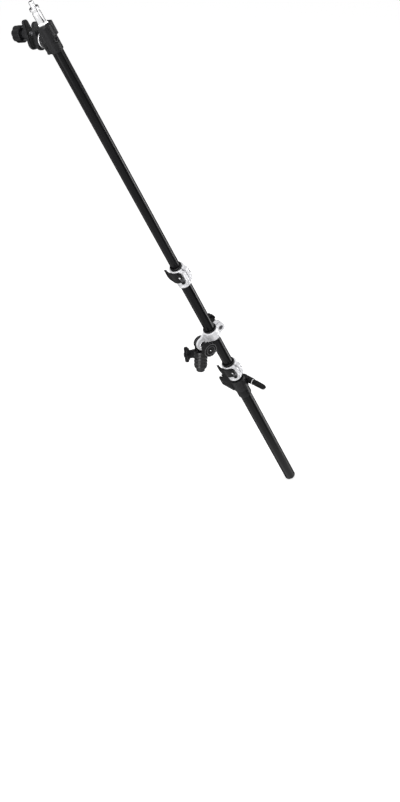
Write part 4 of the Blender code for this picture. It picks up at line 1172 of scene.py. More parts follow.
def washer(inner: float, outer: float, low: float, high: float) -> bmesh.types.BMesh:
    """A flat washer along Z with rolled edges.

    Args:
        inner: Radius of its hole.
        outer: Its radius.
        low: Its lower face.
        high: Its upper face.

    Returns:
        The closed washer.
    """
    roll = (high - low) * 0.3
    return lathe(box_outline((inner, low), (outer, high)), roll)


def cap_bolt(
    radius: float,
    head: float,
    height: float,
    length: float,
    socket: float,
    chamfer: float = 0.0008,
    edge: float = 0.0003,
) -> bmesh.types.BMesh:
    """A socket-head bolt along Z: its seat at 0, the head below and the shaft above.

    Args:
        radius: Of the shaft.
        head: Radius of the head.
        height: Height of the head.
        length: Length of the shaft.
        socket: Radius of the hexagon socket.
        chamfer: Of the head and the tip.
        edge: Reach of the roundings.

    Returns:
        The closed bolt.
    """
    outline = [
        (0, -height),
        (head - chamfer, -height),
        (head, -height + chamfer),
        (head, 0),
        (radius, 0),
        (radius, length - chamfer),
        (radius - chamfer, length),
        (0, length),
    ]
    face = -height - GAP
    socket_floor = -height * 0.38
    mouth = [(0, face), (socket * 1.12 + GAP, face), (0, -height + socket)]
    return boolean(
        lathe(outline, edge, SMALL_ROUND),
        cut=[hexagon(socket, face, socket_floor), lathe(mouth, segments=SMALL_ROUND)],
    )


def hexagon_nut(radius: float, low: float, high: float, bore: float) -> bmesh.types.BMesh:
    """A nut along Z with chamfered corners.

    Args:
        radius: To its corners.
        low: Its lower face.
        high: Its upper face.
        bore: Radius of its hole.

    Returns:
        The closed nut.
    """
    flat = radius * math.cos(math.pi / 6)
    slope = (radius - flat) * 0.6
    beyond = radius * 1.1
    corners = [(flat * 0.98, 0.0), (beyond, slope * 1.6), (beyond, 0.0)]
    top = lathe([(reach, high - depth) for reach, depth in corners])
    foot = lathe([(reach, low + depth) for reach, depth in corners])
    hole = cylinder(bore, low - GAP, high + GAP)
    return boolean(hexagon(radius, low, high), cut=[top, foot, hole])


@dataclass
class StandAdapter:
    """The socket that drops over a stand's spigot, with its ribs, neck, boss and pivot ear.

    Attributes:
        socket: Diameter of its bore.
        socket_depth: Depth of its bore.
        mouth_chamfer: Chamfer of the bore's mouth.
        vent: Radius of the pinhole in the bore's roof.
        diameter: Over the ribs.
        height: Height of the ribbed body.
        neck: Diameter of the neck.
        neck_height: Height of the neck.
        shoulder: Level where the cone over the neck ends.
        ribs: How many ribs.
        pitch: From one rib to the next.
        groove: Width of the groove between two ribs.
        groove_depth: Depth of that groove.
        barrel: How far a rib's face falls off towards its edges.
        rib_steps: Steps up a rib's face.
        edge: Reach of the roundings of the turned body.
        ear_radius: Radius of the pivot ear.
        ear_low: Where the ear starts, along Y.
        ear_thickness: Thickness of the ear.
        cast_edge: Reach of the roundings of the ear and the boss.
        web: Half width of the web under the ear.
        web_start: Where the web starts, from the bore's roof.
        web_edge: Reach of the roundings of the web.
        hub: Radius of the raised ring round the pivot hole.
        hub_sink: How far that ring starts inside the ear.
        hub_rise: How far it stands out, and the reach of its roundings.
        pivot_drill: Ends of the pivot's drill, along Y.
        lock_level: Level of the lock screw.
        lock_azimuth: Its direction about Z.
        boss: Radius of the screw's boss.
        boss_sink: Where the boss starts, from the bore's wall.
        boss_reach: Outer face of the boss, from the bore's axis.
        screw_drill: How far the screw's drill runs into the bore and out of the boss.
    """

    socket: float = 0.0164
    socket_depth: float = 0.055
    mouth_chamfer: float = 0.0008
    vent: float = 0.0001
    diameter: float = 0.033
    height: float = 0.0585
    neck: float = 0.021
    neck_height: float = 0.005
    shoulder: float = 0.011
    ribs: int = 4
    pitch: float = 0.0095
    groove: float = 0.0024
    groove_depth: float = 0.0012
    barrel: float = 0.0006
    rib_steps: int = 8
    edge: float = 0.0005
    ear_radius: float = 0.0165
    ear_low: float = 0.0007
    ear_thickness: float = 0.009
    cast_edge: float = 0.0009
    web: float = 0.01285
    web_start: float = 0.0005
    web_edge: float = 0.0007
    hub: float = M8 * 0.95
    hub_sink: float = 0.001
    hub_rise: float = 0.0002
    pivot_drill: Point = (-0.005, 0.02)
    lock_level: float = 0.050
    lock_azimuth: float = math.radians(160)
    boss: float = 0.0112
    boss_sink: float = 0.002
    boss_reach: float = 0.0205
    screw_drill: Point = (0.003, 0.002)

    def lock_way(self) -> Matrix:
        """The lock screw's axis, as a matrix that stands a piece along it."""
        direction = (math.cos(self.lock_azimuth), math.sin(self.lock_azimuth), 0)
        return along(direction, (0, 0, self.lock_level))

    def _outline(self) -> list[Point]:
        """The turned outline of the body with its rounded ribs."""
        outer = self.diameter / 2
        inner = outer - self.groove_depth
        mouth = self.socket / 2
        outline = [(mouth, self.mouth_chamfer), (mouth + self.mouth_chamfer, 0), (self.neck / 2, 0)]
        outline += [(self.neck / 2, self.neck_height), (inner, self.shoulder)]
        level = self.shoulder + self.groove
        for _ in range(self.ribs):
            outline.append((inner, level))
            outline += self._rib(level + self.groove / 3, level + self.pitch - self.groove * 4 / 3)
            level += self.pitch - self.groove
            outline.append((inner, level))
            level += self.groove
        outline += [(inner, level), (outer, level + self.groove / 3), (outer, self.height)]
        outline += [(self.vent, self.height), (self.vent, self.socket_depth), (mouth, self.socket_depth)]
        return outline

    def _rib(self, low: float, high: float) -> list[Point]:
        """The barrel-shaped face of one rib.

        Args:
            low: Level of its lower edge.
            high: Level of its upper edge.

        Returns:
            (radius, height) points from the lower to the upper edge.
        """
        face = []
        for step in range(self.rib_steps + 1):
            share = step / self.rib_steps
            sag = self.barrel * (2 * share - 1) ** 2
            face.append((self.diameter / 2 - sag, low + (high - low) * share))
        return face

    def _ear(self) -> list[bmesh.types.BMesh]:
        """The pivot ear, the web under it and the raised ring round its hole."""
        across = PIVOT @ ALONG_Y
        high = self.ear_low + self.ear_thickness
        ear = cylinder(self.ear_radius, self.ear_low, high, self.cast_edge, ROUND)
        hub = cylinder(self.hub, self.ear_low + self.hub_sink, high + self.hub_rise, self.hub_rise)
        sides = box_outline((-self.web, self.socket_depth + self.web_start), (self.web, PIVOT_HEIGHT))
        web = prism([(x, -z) for x, z in sides], self.ear_low, high, self.web_edge)
        return [placed(web, ALONG_Y), placed(ear, across), placed(hub, across)]

    def body(self) -> bmesh.types.BMesh:
        """The socket body with its ear and boss."""
        into_bore, past_boss = self.screw_drill
        wall = self.socket / 2
        boss = cylinder(self.boss, wall + self.boss_sink, self.boss_reach, self.cast_edge)
        screw_hole = cylinder(M8_HOLE, wall - into_bore, self.boss_reach + past_boss)
        pivot_hole = cylinder(M8_HOLE, *self.pivot_drill)
        web, ear, hub = self._ear()
        return boolean(
            lathe(rounded(self._outline(), self.edge)),
            add=[web, ear, placed(boss, self.lock_way()), hub],
            cut=[placed(pivot_hole, PIVOT @ ALONG_Y), placed(screw_hole, self.lock_way())],
        )

    def build(self) -> None:
        """Puts the adapter on its body."""
        show("socket_adapter", self.body(), WORLD, GLOSS_PAINT, "adapter", ["adapter_body"])


@dataclass
class SocketLock:
    """Star knob and threaded screw that hold the stand's spigot.

    Attributes:
        adapter: The adapter that the screw sits in.
        start: Where the knob starts, from the bore's axis.
        pad_end: Outer end of the brass pad, from the bore's axis.
        pad_travel: How far the pad moves.
        stem: Radius of the screw's plain tip.
        knob: The star knob.
    """

    adapter: StandAdapter
    start: float = 0.0208
    pad_end: float = 0.0114
    pad_travel: float = 0.0016
    stem: float = 0.0022
    knob: HandKnob = HandKnob(
        radius=0.0195,
        lobes=5,
        depth=0.0065,
        head=0.0085,
        hub=0.0105,
        hub_radius=0.0105,
        crown=-0.0008,
        soft=0.0022,
        rings=(0.56,),
        bore=M8_HOLE,
        bore_depth=0.016,
    )

    def build(self, threads: Tree) -> None:
        """Puts the knob and its screw on their body.

        Args:
            threads: The tree that winds a thread.
        """
        way = self.adapter.lock_way()
        show(
            "star_hand_knob",
            self.knob.shape(),
            way @ shift(0, 0, self.start),
            BLACK_PLASTIC,
            "socket_lock",
            ["socket_lock_knob"],
        )
        foot = self.pad_end + GAP
        low = self.pad_end + self.pad_travel + GAP
        high = self.start + self.knob.bore_depth - GAP
        screw = Screw(M8, low, self.start, M8_PITCH)
        core = lathe(
            [
                (0, foot),
                (self.stem, foot),
                (self.stem, low),
                (screw.core(), low),
                (screw.core(), self.start),
                (M8 / 2, self.start),
                (M8 / 2, high),
                (0, high),
            ],
            segments=SMALL_ROUND,
        )
        shape = boolean(core, add=[screw.shape(threads)])
        show("lock_screw", shape, way, CROSS_STEEL, "socket_lock", ["socket_lock_screw"])


@dataclass
class Pivot:
    """Tilt bolt, washer and tilt knob on the adapter's ear.

    Attributes:
        back: Seat of the bolt's head, along Y.
        head_radius: Radius of the bolt's head.
        head_height: Height of the bolt's head.
        washer_face: Outer face of the washer, along Y.
        washer_radius: Radius of the washer.
        washer_height: Thickness of the washer.
        knob_seat: Foot of the knob's hub, along Y.
        knob: The tilt knob.
        insert: Turned outline of the bright insert in the knob's face, with heights from that face.
        insert_edge: Reach of its roundings.
    """

    back: float = 0.0100
    head_radius: float = 0.0065
    head_height: float = 0.0045
    washer_face: float = -0.0089
    washer_radius: float = 0.0085
    washer_height: float = 0.0016
    knob_seat: float = -0.0092
    knob: HandKnob = HandKnob(
        radius=0.018,
        lobes=11,
        depth=0.0018,
        head=0.015,
        hub=0.0165,
        hub_radius=0.0078,
        crown=0.0006,
        soft=0.0024,
        rings=(0.78, 0.48),
        bore=M8_HOLE,
        bore_depth=0.0285,
    )
    insert: tuple[Point, ...] = (
        (0, -0.001),
        (0.0015, -0.001),
        (0.0015, 0.0008),
        (0.0010, 0.0013),
        (0, 0.0014),
    )
    insert_edge: float = 0.0003

    def build(self) -> None:
        """Puts the bolt, the washer and the knob on their bodies."""
        shaft = self.back - self.knob_seat + self.knob.bore_depth - 2 * GAP
        bolt = cap_bolt(M8 / 2, self.head_radius, self.head_height, shaft, M8_SOCKET)
        way = PIVOT @ along((0, -1, 0), (0, self.back, 0))
        show("tilt_bolt", bolt, way, DARK_STEEL, "adapter", ["pivot_bolt"])
        ring = washer(M8_HOLE, self.washer_radius, 0, self.washer_height)
        way = PIVOT @ shift(0, self.washer_face, 0) @ ALONG_Y
        show("tilt_knob_washer", ring, way, CROSS_STEEL, "tilt_knob", ["tilt_washer"])
        way = PIVOT @ along((0, -1, 0), (0, self.knob_seat, 0))
        show("tilt_hand_knob", self.knob.shape(), way, BLACK_PLASTIC, "tilt_knob", ["tilt_knob"])
        # The rims' lighter tone paints the highlights of the face's rings
        show("tilt_knob_painted_highlight_rims", self.knob.rims(), way, PAINTED_HIGHLIGHT_PLASTIC, "tilt_knob")
        top = self.knob.hub + self.knob.head
        outline = [(radius, top + rise) for radius, rise in self.insert]
        cap = lathe(outline, self.insert_edge, SMALL_ROUND)
        show("tilt_knob_insert", cap, way, CROSS_STEEL, "tilt_knob")


@dataclass
class Saddle:
    """Split silver collar with its tongue, the bolt and knob that close it, and the black sleeve.

    Attributes:
        bore: Radius of the collar's bore.
        height: Height of the collar.
        drill_past: How far the bore's drill runs past both ends.
        pivot_drill: Ends of the tongue's drill, along Y.
        reach: The collar bolt's distance from the arm's axis.
        level: Its level in the collar.
        seat: Seat of its head, along Y.
        far_face: Far face of the collar's ears, along Y.
        head_radius: Radius of its head.
        head_height: Height of its head.
        washer_radius: Radius of the knob's washer.
        washer_height: Thickness of that washer.
        sleeve_bore: Radius of the sleeve's bore.
        sleeve_wall: Wall of the sleeve.
        sleeve_tail: How far the sleeve stands out under the collar.
        sleeve_edge: Reach of its roundings.
        flange: Radius of its flange.
        flange_height: Height of the flange.
        flange_side: Share of that height below the chamfer.
        flange_chamfer: Width of the chamfer.
        knob: The collar knob.
    """

    bore: float = 0.0151
    height: float = 0.026
    drill_past: float = 0.01
    pivot_drill: Point = (-0.005, 0.02)
    reach: float = 0.0235
    level: float = 0.0125
    seat: float = -0.0053
    far_face: float = 0.0131
    head_radius: float = 0.0056
    head_height: float = 0.0032
    washer_radius: float = 0.0078
    washer_height: float = 0.0016
    sleeve_bore: float = 0.0133
    sleeve_wall: float = 0.0015
    sleeve_tail: float = 0.002
    sleeve_edge: float = 0.0005
    flange: float = 0.0165
    flange_height: float = 0.0038
    flange_side: float = 0.7
    flange_chamfer: float = 0.001
    knob: HandKnob = HandKnob(
        radius=0.0132,
        lobes=6,
        depth=0.0028,
        head=0.015,
        hub=0.018,
        hub_radius=0.0075,
        crown=0.0006,
        soft=0.0019,
        rings=(0.6,),
        bore=M8_HOLE,
        bore_depth=0.030,
    )

    def casting(self) -> bmesh.types.BMesh:
        """The collar and its tongue with soft edges and machined bores."""
        shape = relaxed(solid_of("clamp_saddle", ARM), voxel=0.0004, passes=7)
        bore = cylinder(self.bore, -self.drill_past, self.height + self.drill_past, segments=ROUND)
        pivot = placed(cylinder(M8_HOLE, *self.pivot_drill), shift(-ARM_OFFSET, 0, 0) @ ALONG_Y)
        return boolean(shape, cut=[bore, pivot])

    def sleeve(self) -> bmesh.types.BMesh:
        """The flanged sleeve between the collar and the tube."""
        foot = self.height + GAP
        outer = self.sleeve_bore + self.sleeve_wall
        outline = [
            (self.sleeve_bore, -self.sleeve_tail),
            (outer, -self.sleeve_tail),
            (outer, foot),
            (self.flange, foot),
            (self.flange, foot + self.flange_height * self.flange_side),
            (self.flange - self.flange_chamfer, foot + self.flange_height),
            (self.sleeve_bore, foot + self.flange_height),
        ]
        return lathe(outline, self.sleeve_edge)

    def build(self) -> None:
        """Puts the saddle's pieces on their bodies."""
        show("saddle_casting", self.casting(), ARM, ALUMINIUM, "saddle", ["clamp_saddle"])
        place = ARM @ shift(self.reach, 0, self.level)
        across = place @ ALONG_Y
        washer_low = self.far_face + GAP
        washer_high = washer_low + self.washer_height
        knob_seat = washer_high + GAP
        shaft = knob_seat - self.seat + self.knob.bore_depth - 2 * GAP
        bolt = cap_bolt(M8 / 2, self.head_radius, self.head_height, shaft, M8_SOCKET)
        way = across @ shift(0, 0, self.seat)
        show("collar_cap_bolt", bolt, way, DARK_STEEL, "saddle", ["collar_bolt"])
        ring = washer(M8_HOLE, self.washer_radius, washer_low, washer_high)
        show("collar_knob_washer", ring, across, CROSS_STEEL, "saddle", ["collar_washer"])
        way = place @ along((0, 1, 0), (0, knob_seat, 0))
        show("collar_hand_knob", self.knob.shape(), way, BLACK_PLASTIC, "collar_knob", ["collar_knob"])
        show("flanged_sleeve", self.sleeve(), ARM, BLACK_PLASTIC, "sleeve", ["boom_sleeve"])


@dataclass
class BoomTube:
    """One of the arm's tubes, with rolled ends.

    Attributes:
        name: Name of the piece.
        node: The frame's tube that it stands for.
        body: The body that it rides on.
        diameter: Outer diameter.
        low: Lower end, along the arm.
        high: Upper end.
        edge: Reach of the roundings of its ends.
    """

    name: str
    node: str
    body: str
    diameter: float
    low: float
    high: float
    edge: float = 0.0004

    def build(self) -> None:
        """Puts the tube on its body."""
        outer = self.diameter / 2
        shape = lathe(box_outline((outer - TUBE_WALL, self.low), (outer, self.high)), self.edge)
        show(self.name, shape, ARM, BLACK_TUBE, self.body, [self.node])


@dataclass
class EndCap:
    """Rounded cap in the lower tube's end.

    Attributes:
        rim: Radius of its head.
        flat: Share of that radius where the flat face ends.
        bend: Shares of the radius and of the wall where the dome bends.
        wall: Height of its head.
        stem: Radius of its stem.
        stem_wall: Wall of the stem.
        stem_floor: Thickness of the floor in the stem.
        height: Overall height.
        edge: Reach of its roundings.
    """

    rim: float = LOWER_TUBE / 2
    flat: float = 0.72
    bend: Point = (0.93, 0.35)
    wall: float = 0.0022
    stem: float = LOWER_TUBE / 2 - TUBE_WALL - GAP
    stem_wall: float = 0.002
    stem_floor: float = 0.001
    height: float = 0.018
    edge: float = 0.0006

    def build(self) -> None:
        """Puts the cap on its body."""
        seat = LOWER_END + self.wall
        top = LOWER_END + self.height
        bend_share, bend_height = self.bend
        outline = [
            (0, LOWER_END),
            (self.rim * self.flat, LOWER_END),
            (self.rim * bend_share, LOWER_END + self.wall * bend_height),
            (self.rim, seat),
            (self.stem, seat),
            (self.stem, top),
            (self.stem - self.stem_wall, top),
            (self.stem - self.stem_wall, seat + self.stem_floor),
            (0, seat + self.stem_floor),
        ]
        shape = lathe(outline, self.edge)
        show("rounded_end_cap", shape, ARM, BLACK_PLASTIC, "lower_section", ["lower_end_cap"])


@dataclass
class FlipLock:
    """A flip lock: split collar, insert, eye bolt, nut, cam lever and pin.

    Attributes:
        prefix: Start of its pieces' names.
        place: Its frame, with the collar's foot at the origin.
        body: The body of its collar.
        lever_body: The body of its lever.
        carrier: Diameter of the tube that it sits on.
        slider: Diameter of the tube that slides in it.
        height: Height of the collar.
        wall: Wall of the collar.
        drill_past: How far the bore's drill runs past both ends.
        ear_a_end: Outer face of the ear under the lever.
        ear_b_end: Outer face of the ear under the nut.
        bolt_level: Level of the eye bolt.
        standoff: The bolt's distance from the collar's wall.
        cam: Radius of the lever's cam.
        cam_play: Room between the cam and its ear.
        eye: Radius of the bolt's eye.
        eye_height: Height of the eye.
        eye_edge: Reach of its roundings.
        thread_start: Where the bolt's thread starts.
        thread_past: How far the bolt reaches past the nut's seat.
        nut: Radius of the nut to its corners.
        nut_height: Height of the nut.
        pin: Radius of the lever's pin.
        pin_ends: Lower and upper end of the pin.
        pin_edge: Reach of its roundings.
        flange_wall: How far the insert's flange stands out over the bore.
        flange_height: Height of the flange.
        flange_side: Share of that height below the chamfer.
        flange_chamfer: Width of the chamfer.
        insert_edge: Reach of the insert's roundings.
        tail: How deep the insert reaches into the collar.
        rivet: Radius of the bright rivet in the lever.
        rivet_level: Its level.
        rivet_place: Its place from the lever's pin.
        rivet_way: The direction that it looks in.
        rivet_rise: How far it stands out.
        rivet_edge: Reach of its roundings.
    """

    prefix: str
    place: Matrix
    body: str
    lever_body: str
    carrier: float
    slider: float
    height: float = 0.052
    wall: float = 0.0042
    drill_past: float = 0.005
    ear_a_end: float = -0.0117
    ear_b_end: float = 0.0120
    bolt_level: float = 0.0345
    standoff: float = 0.003
    cam: float = 0.0048
    cam_play: float = 0.0004
    eye: float = 0.0042
    eye_height: float = 0.008
    eye_edge: float = 0.0006
    thread_start: float = 0.002
    thread_past: float = 0.0035
    nut: float = 0.0046
    nut_height: float = 0.004
    pin: float = 0.002
    pin_ends: Point = (0.0233, 0.0509)
    pin_edge: float = 0.0004
    flange_wall: float = 0.0008
    flange_height: float = 0.006
    flange_side: float = 0.8
    flange_chamfer: float = 0.0015
    insert_edge: float = 0.0006
    tail: float = 0.026
    rivet: float = 0.0022
    rivet_level: float = 0.0435
    rivet_place: Point = (-0.0043, -0.0011)
    rivet_way: tuple[float, float, float] = (-0.99, -0.14, 0)
    rivet_rise: float = 0.0009
    rivet_edge: float = 0.0003

    def _axis(self) -> Point:
        """The lever pin's place in the lock's frame."""
        outer = self.carrier / 2 + GAP + self.wall
        return (self.ear_a_end - self.cam_play - self.cam, -(outer + self.standoff))

    def _show(
        self, name: str, bm: bmesh.types.BMesh, finish: Finish, body: str, replaced: Sequence[str] = ()
    ) -> None:
        """Puts one of the lock's pieces on its body.

        Args:
            name: Its name after the lock's own.
            bm: Its shape, in the lock's frame.
            finish: Its finish.
            body: The body that it rides on.
            replaced: The nodes that it stands for, also by their names after the lock's own.
        """
        nodes = [f"{self.prefix}_{node}" for node in replaced]
        show(f"{self.prefix}_{name}", bm, self.place, finish, body, nodes)

    def build(self, threads: Tree) -> None:
        """Puts the lock's pieces on their bodies.

        Args:
            threads: The tree that winds a thread.
        """
        bore = self.carrier / 2 + GAP
        collar = relaxed(solid_of(f"{self.prefix}_collar", self.place), voxel=0.0004, passes=6)
        drill = cylinder(bore, -self.drill_past, self.height + self.drill_past, segments=ROUND)
        self._show("casting", boolean(collar, cut=[drill]), ALUMINIUM, self.body, ["collar"])
        self._show("bush", self._insert(bore), BLACK_PLASTIC, self.body, ["insert"])
        lever = relaxed(solid_of(f"{self.prefix}_lever", self.place), voxel=0.0003, passes=5)
        self._show("cam_lever", lever, BLACK_PLASTIC, self.lever_body, ["lever"])
        self._rivet()
        self._fasteners(threads)

    def _insert(self, bore: float) -> bmesh.types.BMesh:
        """The plastic insert with its flange.

        Args:
            bore: Radius of the collar's bore.

        Returns:
            The closed insert.
        """
        inner = self.slider / 2 + GAP
        sleeve = bore - GAP
        flange = bore + self.flange_wall
        foot = self.height + GAP
        outline = [
            (inner, self.height - self.tail),
            (sleeve, self.height - self.tail),
            (sleeve, foot),
            (flange, foot),
            (flange, foot + self.flange_height * self.flange_side),
            (flange - self.flange_chamfer, foot + self.flange_height),
            (inner, foot + self.flange_height),
        ]
        return lathe(outline, self.insert_edge)

    def _rivet(self) -> None:
        """The bright rivet in the lever's outer side."""
        pin_x, bolt_y = self._axis()
        along_x, along_y = self.rivet_place
        face = shift(pin_x + along_x, bolt_y + along_y, self.rivet_level) @ along(self.rivet_way)
        head = cylinder(self.rivet, 0.0, self.rivet_rise, self.rivet_edge)
        self._show("lever_rivet", placed(head, face), STEEL, self.lever_body)

    def _eye_bolt(self, threads: Tree, seat: float) -> bmesh.types.BMesh:
        """The bolt that draws the ears together, with its eye round the lever's pin.

        Args:
            threads: The tree that winds a thread.
            seat: Seat of the nut.

        Returns:
            The closed bolt, along Z, from the split's middle.
        """
        pin_x, _ = self._axis()
        end = seat + self.thread_past
        screw = Screw(M5, self.thread_start, end, M5_PITCH)
        shaft = lathe(
            [
                (0, pin_x),
                (M5 / 2, pin_x),
                (M5 / 2, self.thread_start),
                (screw.core(), self.thread_start),
                (screw.core(), end),
                (0, end),
            ],
            segments=SMALL_ROUND,
        )
        return boolean(shaft, add=[screw.shape(threads)])

    def _fasteners(self, threads: Tree) -> None:
        """Eye bolt, nut and lever pin.

        Args:
            threads: The tree that winds a thread.
        """
        pin_x, bolt_y = self._axis()
        sideways = shift(0, bolt_y, self.bolt_level) @ along((1, 0, 0))
        eye_place = shift(pin_x, bolt_y, self.bolt_level)
        seat = self.ear_b_end + GAP
        shaft = placed(self._eye_bolt(threads, seat), sideways)
        half = self.eye_height / 2
        eye = placed(cylinder(self.eye, -half, half, self.eye_edge), eye_place)
        hole = placed(cylinder(self.pin + GAP, -self.eye_height, self.eye_height), eye_place)
        bolt = boolean(shaft, add=[eye], cut=[hole])
        self._show("eye_bolt", bolt, DARK_STEEL, self.body, ["bolt"])
        nut = placed(hexagon_nut(self.nut, seat, seat + self.nut_height, M5_HOLE), sideways)
        self._show("hexagon_nut", nut, STEEL, self.body, ["nut"])
        rod = placed(cylinder(self.pin, *self.pin_ends, self.pin_edge), shift(pin_x, bolt_y, 0))
        self._show("lever_pin", rod, DARK_STEEL, self.lever_body, ["pin"])


@dataclass(frozen=True)
class Spigot:
    """The head's spigot: stem, hexagon, shank with its groove, shoulder and thread.

    Attributes:
        stem: Radius of the stem in the head block.
        stem_depth: How deep the stem sits.
        stem_lap: How far the shank starts inside the hexagon.
        hexagon_radius: Radius of the hexagon to its corners.
        hexagon_height: Height of the hexagon.
        radius: Radius of the shank.
        length: Length of the shank with its groove.
        groove: Radius in the groove.
        groove_length: From the groove's lower edge to the shoulder.
        groove_slope: Height of the groove's lower slope.
        lip: Height of the shoulder's slope.
        shoulder: Radius of the shoulder.
        shoulder_height: Height of the shoulder.
        thread: Diameter of the thread.
        pitch: Rise of one turn.
        thread_length: From the shoulder to the tip.
        run_out: Plain end over the thread.
        tip_chamfer: Width and height of the tip's chamfer.
        edge: Reach of the roundings.
    """

    stem: float = 0.005
    stem_depth: float = 0.017
    stem_lap: float = 0.001
    hexagon_radius: float = 0.0098
    hexagon_height: float = 0.005
    radius: float = 0.008
    length: float = 0.024
    groove: float = 0.0066
    groove_length: float = 0.006
    groove_slope: float = 0.0014
    lip: float = 0.0007
    shoulder: float = 0.0089
    shoulder_height: float = 0.004
    thread: float = 0.0093
    pitch: float = 0.00125
    thread_length: float = 0.0115
    run_out: float = 0.0004
    tip_chamfer: Point = (0.0008, 0.0006)
    edge: float = 0.0004

    def shape(self, foot: float, threads: Tree) -> bmesh.types.BMesh:
        """The closed spigot along Z.

        Args:
            foot: Level of the hexagon's foot.
            threads: The tree that winds a thread.

        Returns:
            The spigot.
        """
        hexagon_top = foot + self.hexagon_height
        top = hexagon_top + self.length
        seat = top + self.shoulder_height
        tip = seat + self.thread_length
        groove_low = top - self.groove_length
        chamfer, chamfer_height = self.tip_chamfer
        screw = Screw(self.thread, seat, tip - self.run_out, self.pitch)
        core = screw.core()
        outline = [
            (0, foot - self.stem_depth),
            (self.stem, foot - self.stem_depth),
            (self.stem, hexagon_top - self.stem_lap),
            (self.radius, hexagon_top - self.stem_lap),
            (self.radius, groove_low),
            (self.groove, groove_low + self.groove_slope),
            (self.groove, top - self.lip),
            (self.shoulder, top),
            (self.shoulder, seat),
            (core, seat),
            (core, tip - chamfer_height),
            (core - chamfer, tip),
            (0, tip),
        ]
        hexagon_foot = hexagon(self.hexagon_radius, foot, hexagon_top, self.edge)
        return boolean(lathe(outline, self.edge), add=[hexagon_foot, screw.shape(threads)])


@dataclass(frozen=True)
class GrubScrew:
    """A headless screw along Z with a hexagon recess.

    Attributes:
        start: Its inner end.
        end: Its outer end.
        radius: Its radius.
        recess: Radius of the recess to its corners.
        recess_depth: Depth of the recess.
        edge: Reach of the roundings.
    """

    start: float
    end: float
    radius: float = 0.003
    recess: float = 0.0016
    recess_depth: float = 0.0025
    edge: float = 0.0003

    def shape(self) -> bmesh.types.BMesh:
        """The closed screw."""
        recess = hexagon(self.recess, self.end - self.recess_depth, self.end + GAP)
        return boolean(cylinder(self.radius, self.start, self.end, self.edge), cut=[recess])


@dataclass
class HeadBlock:
    """Head block, its spigot, set screws, swivel bolt and bright washer.

    Attributes:
        top: Upper face of the block.
        spigot: The spigot on it.
        spigot_screw: The set screw that holds the spigot, along its own axis.
        spigot_screw_level: Its level.
        tube_screw: The set screw that holds the tube, along its own axis.
        tube_screw_level: Its level.
        tube_screw_lean: Its direction, from Y towards -X.
        bolt_seat: Seat of the swivel bolt's head, along Y.
        bolt_end: Its other end.
        bolt_head: Radius of its head.
        bolt_head_height: Height of its head.
        washer_low: Inner face of the bright washer, along Y.
        washer_high: Its outer face.
        washer_radius: Its radius.
    """

    top: float = 0.030
    spigot: Spigot = Spigot()
    spigot_screw: GrubScrew = GrubScrew(0.0056, 0.0165)
    spigot_screw_level: float = 0.021
    tube_screw: GrubScrew = GrubScrew(0.0113, 0.0178)
    tube_screw_level: float = -0.0168
    tube_screw_lean: float = math.radians(35)
    bolt_seat: float = -0.0098
    bolt_end: float = 0.0276
    bolt_head: float = 0.006
    bolt_head_height: float = 0.0032
    washer_low: float = 0.0168
    washer_high: float = 0.0188
    washer_radius: float = 0.0145

    def build(self, threads: Tree) -> None:
        """Puts the head's pieces on the upper section.

        Args:
            threads: The tree that winds a thread.
        """
        block = relaxed(solid_of("head_block", HEAD_PLACE), voxel=0.0004, passes=6)
        self._show("head_casting", block, HEAD_PLACE, BLACK_PAINT, "head_block")
        spigot = self.spigot.shape(self.top + GAP, threads)
        self._show("light_spigot", spigot, HEAD_PLACE, STEEL, "spigot")
        way = HEAD_PLACE @ shift(0, 0, self.spigot_screw_level) @ along((1, 0, 0))
        self._show("spigot_grub_screw", self.spigot_screw.shape(), way, DARK_STEEL, "spigot_set_screw")
        lean = (-math.sin(self.tube_screw_lean), math.cos(self.tube_screw_lean), 0)
        way = HEAD_PLACE @ shift(0, 0, self.tube_screw_level) @ along(lean)
        self._show("tube_grub_screw", self.tube_screw.shape(), way, BLACK_OXIDE, "tube_set_screw")
        across = HEAD_PLACE @ ALONG_Y
        length = self.bolt_end - self.bolt_seat
        bolt = cap_bolt(M8 / 2, self.bolt_head, self.bolt_head_height, length, M8_SOCKET)
        self._show("swivel_bolt", bolt, across @ shift(0, 0, self.bolt_seat), BLACK_OXIDE, "head_bolt")
        ring = washer(M8_HOLE, self.washer_radius, self.washer_low, self.washer_high)
        self._show("bright_swivel_washer", ring, across, BRIGHT_RING, "head_washer")

    def _show(self, name: str, bm: bmesh.types.BMesh, place: Matrix, finish: Finish, node: str) -> None:
        """Puts one of the head's pieces on the upper section.

        Args:
            name: Its name.
            bm: Its shape.
            place: Where the shape's own axes stand.
            finish: Its finish.
            node: The node that it stands for.
        """
        show(name, bm, place, finish, "upper_section", [node])


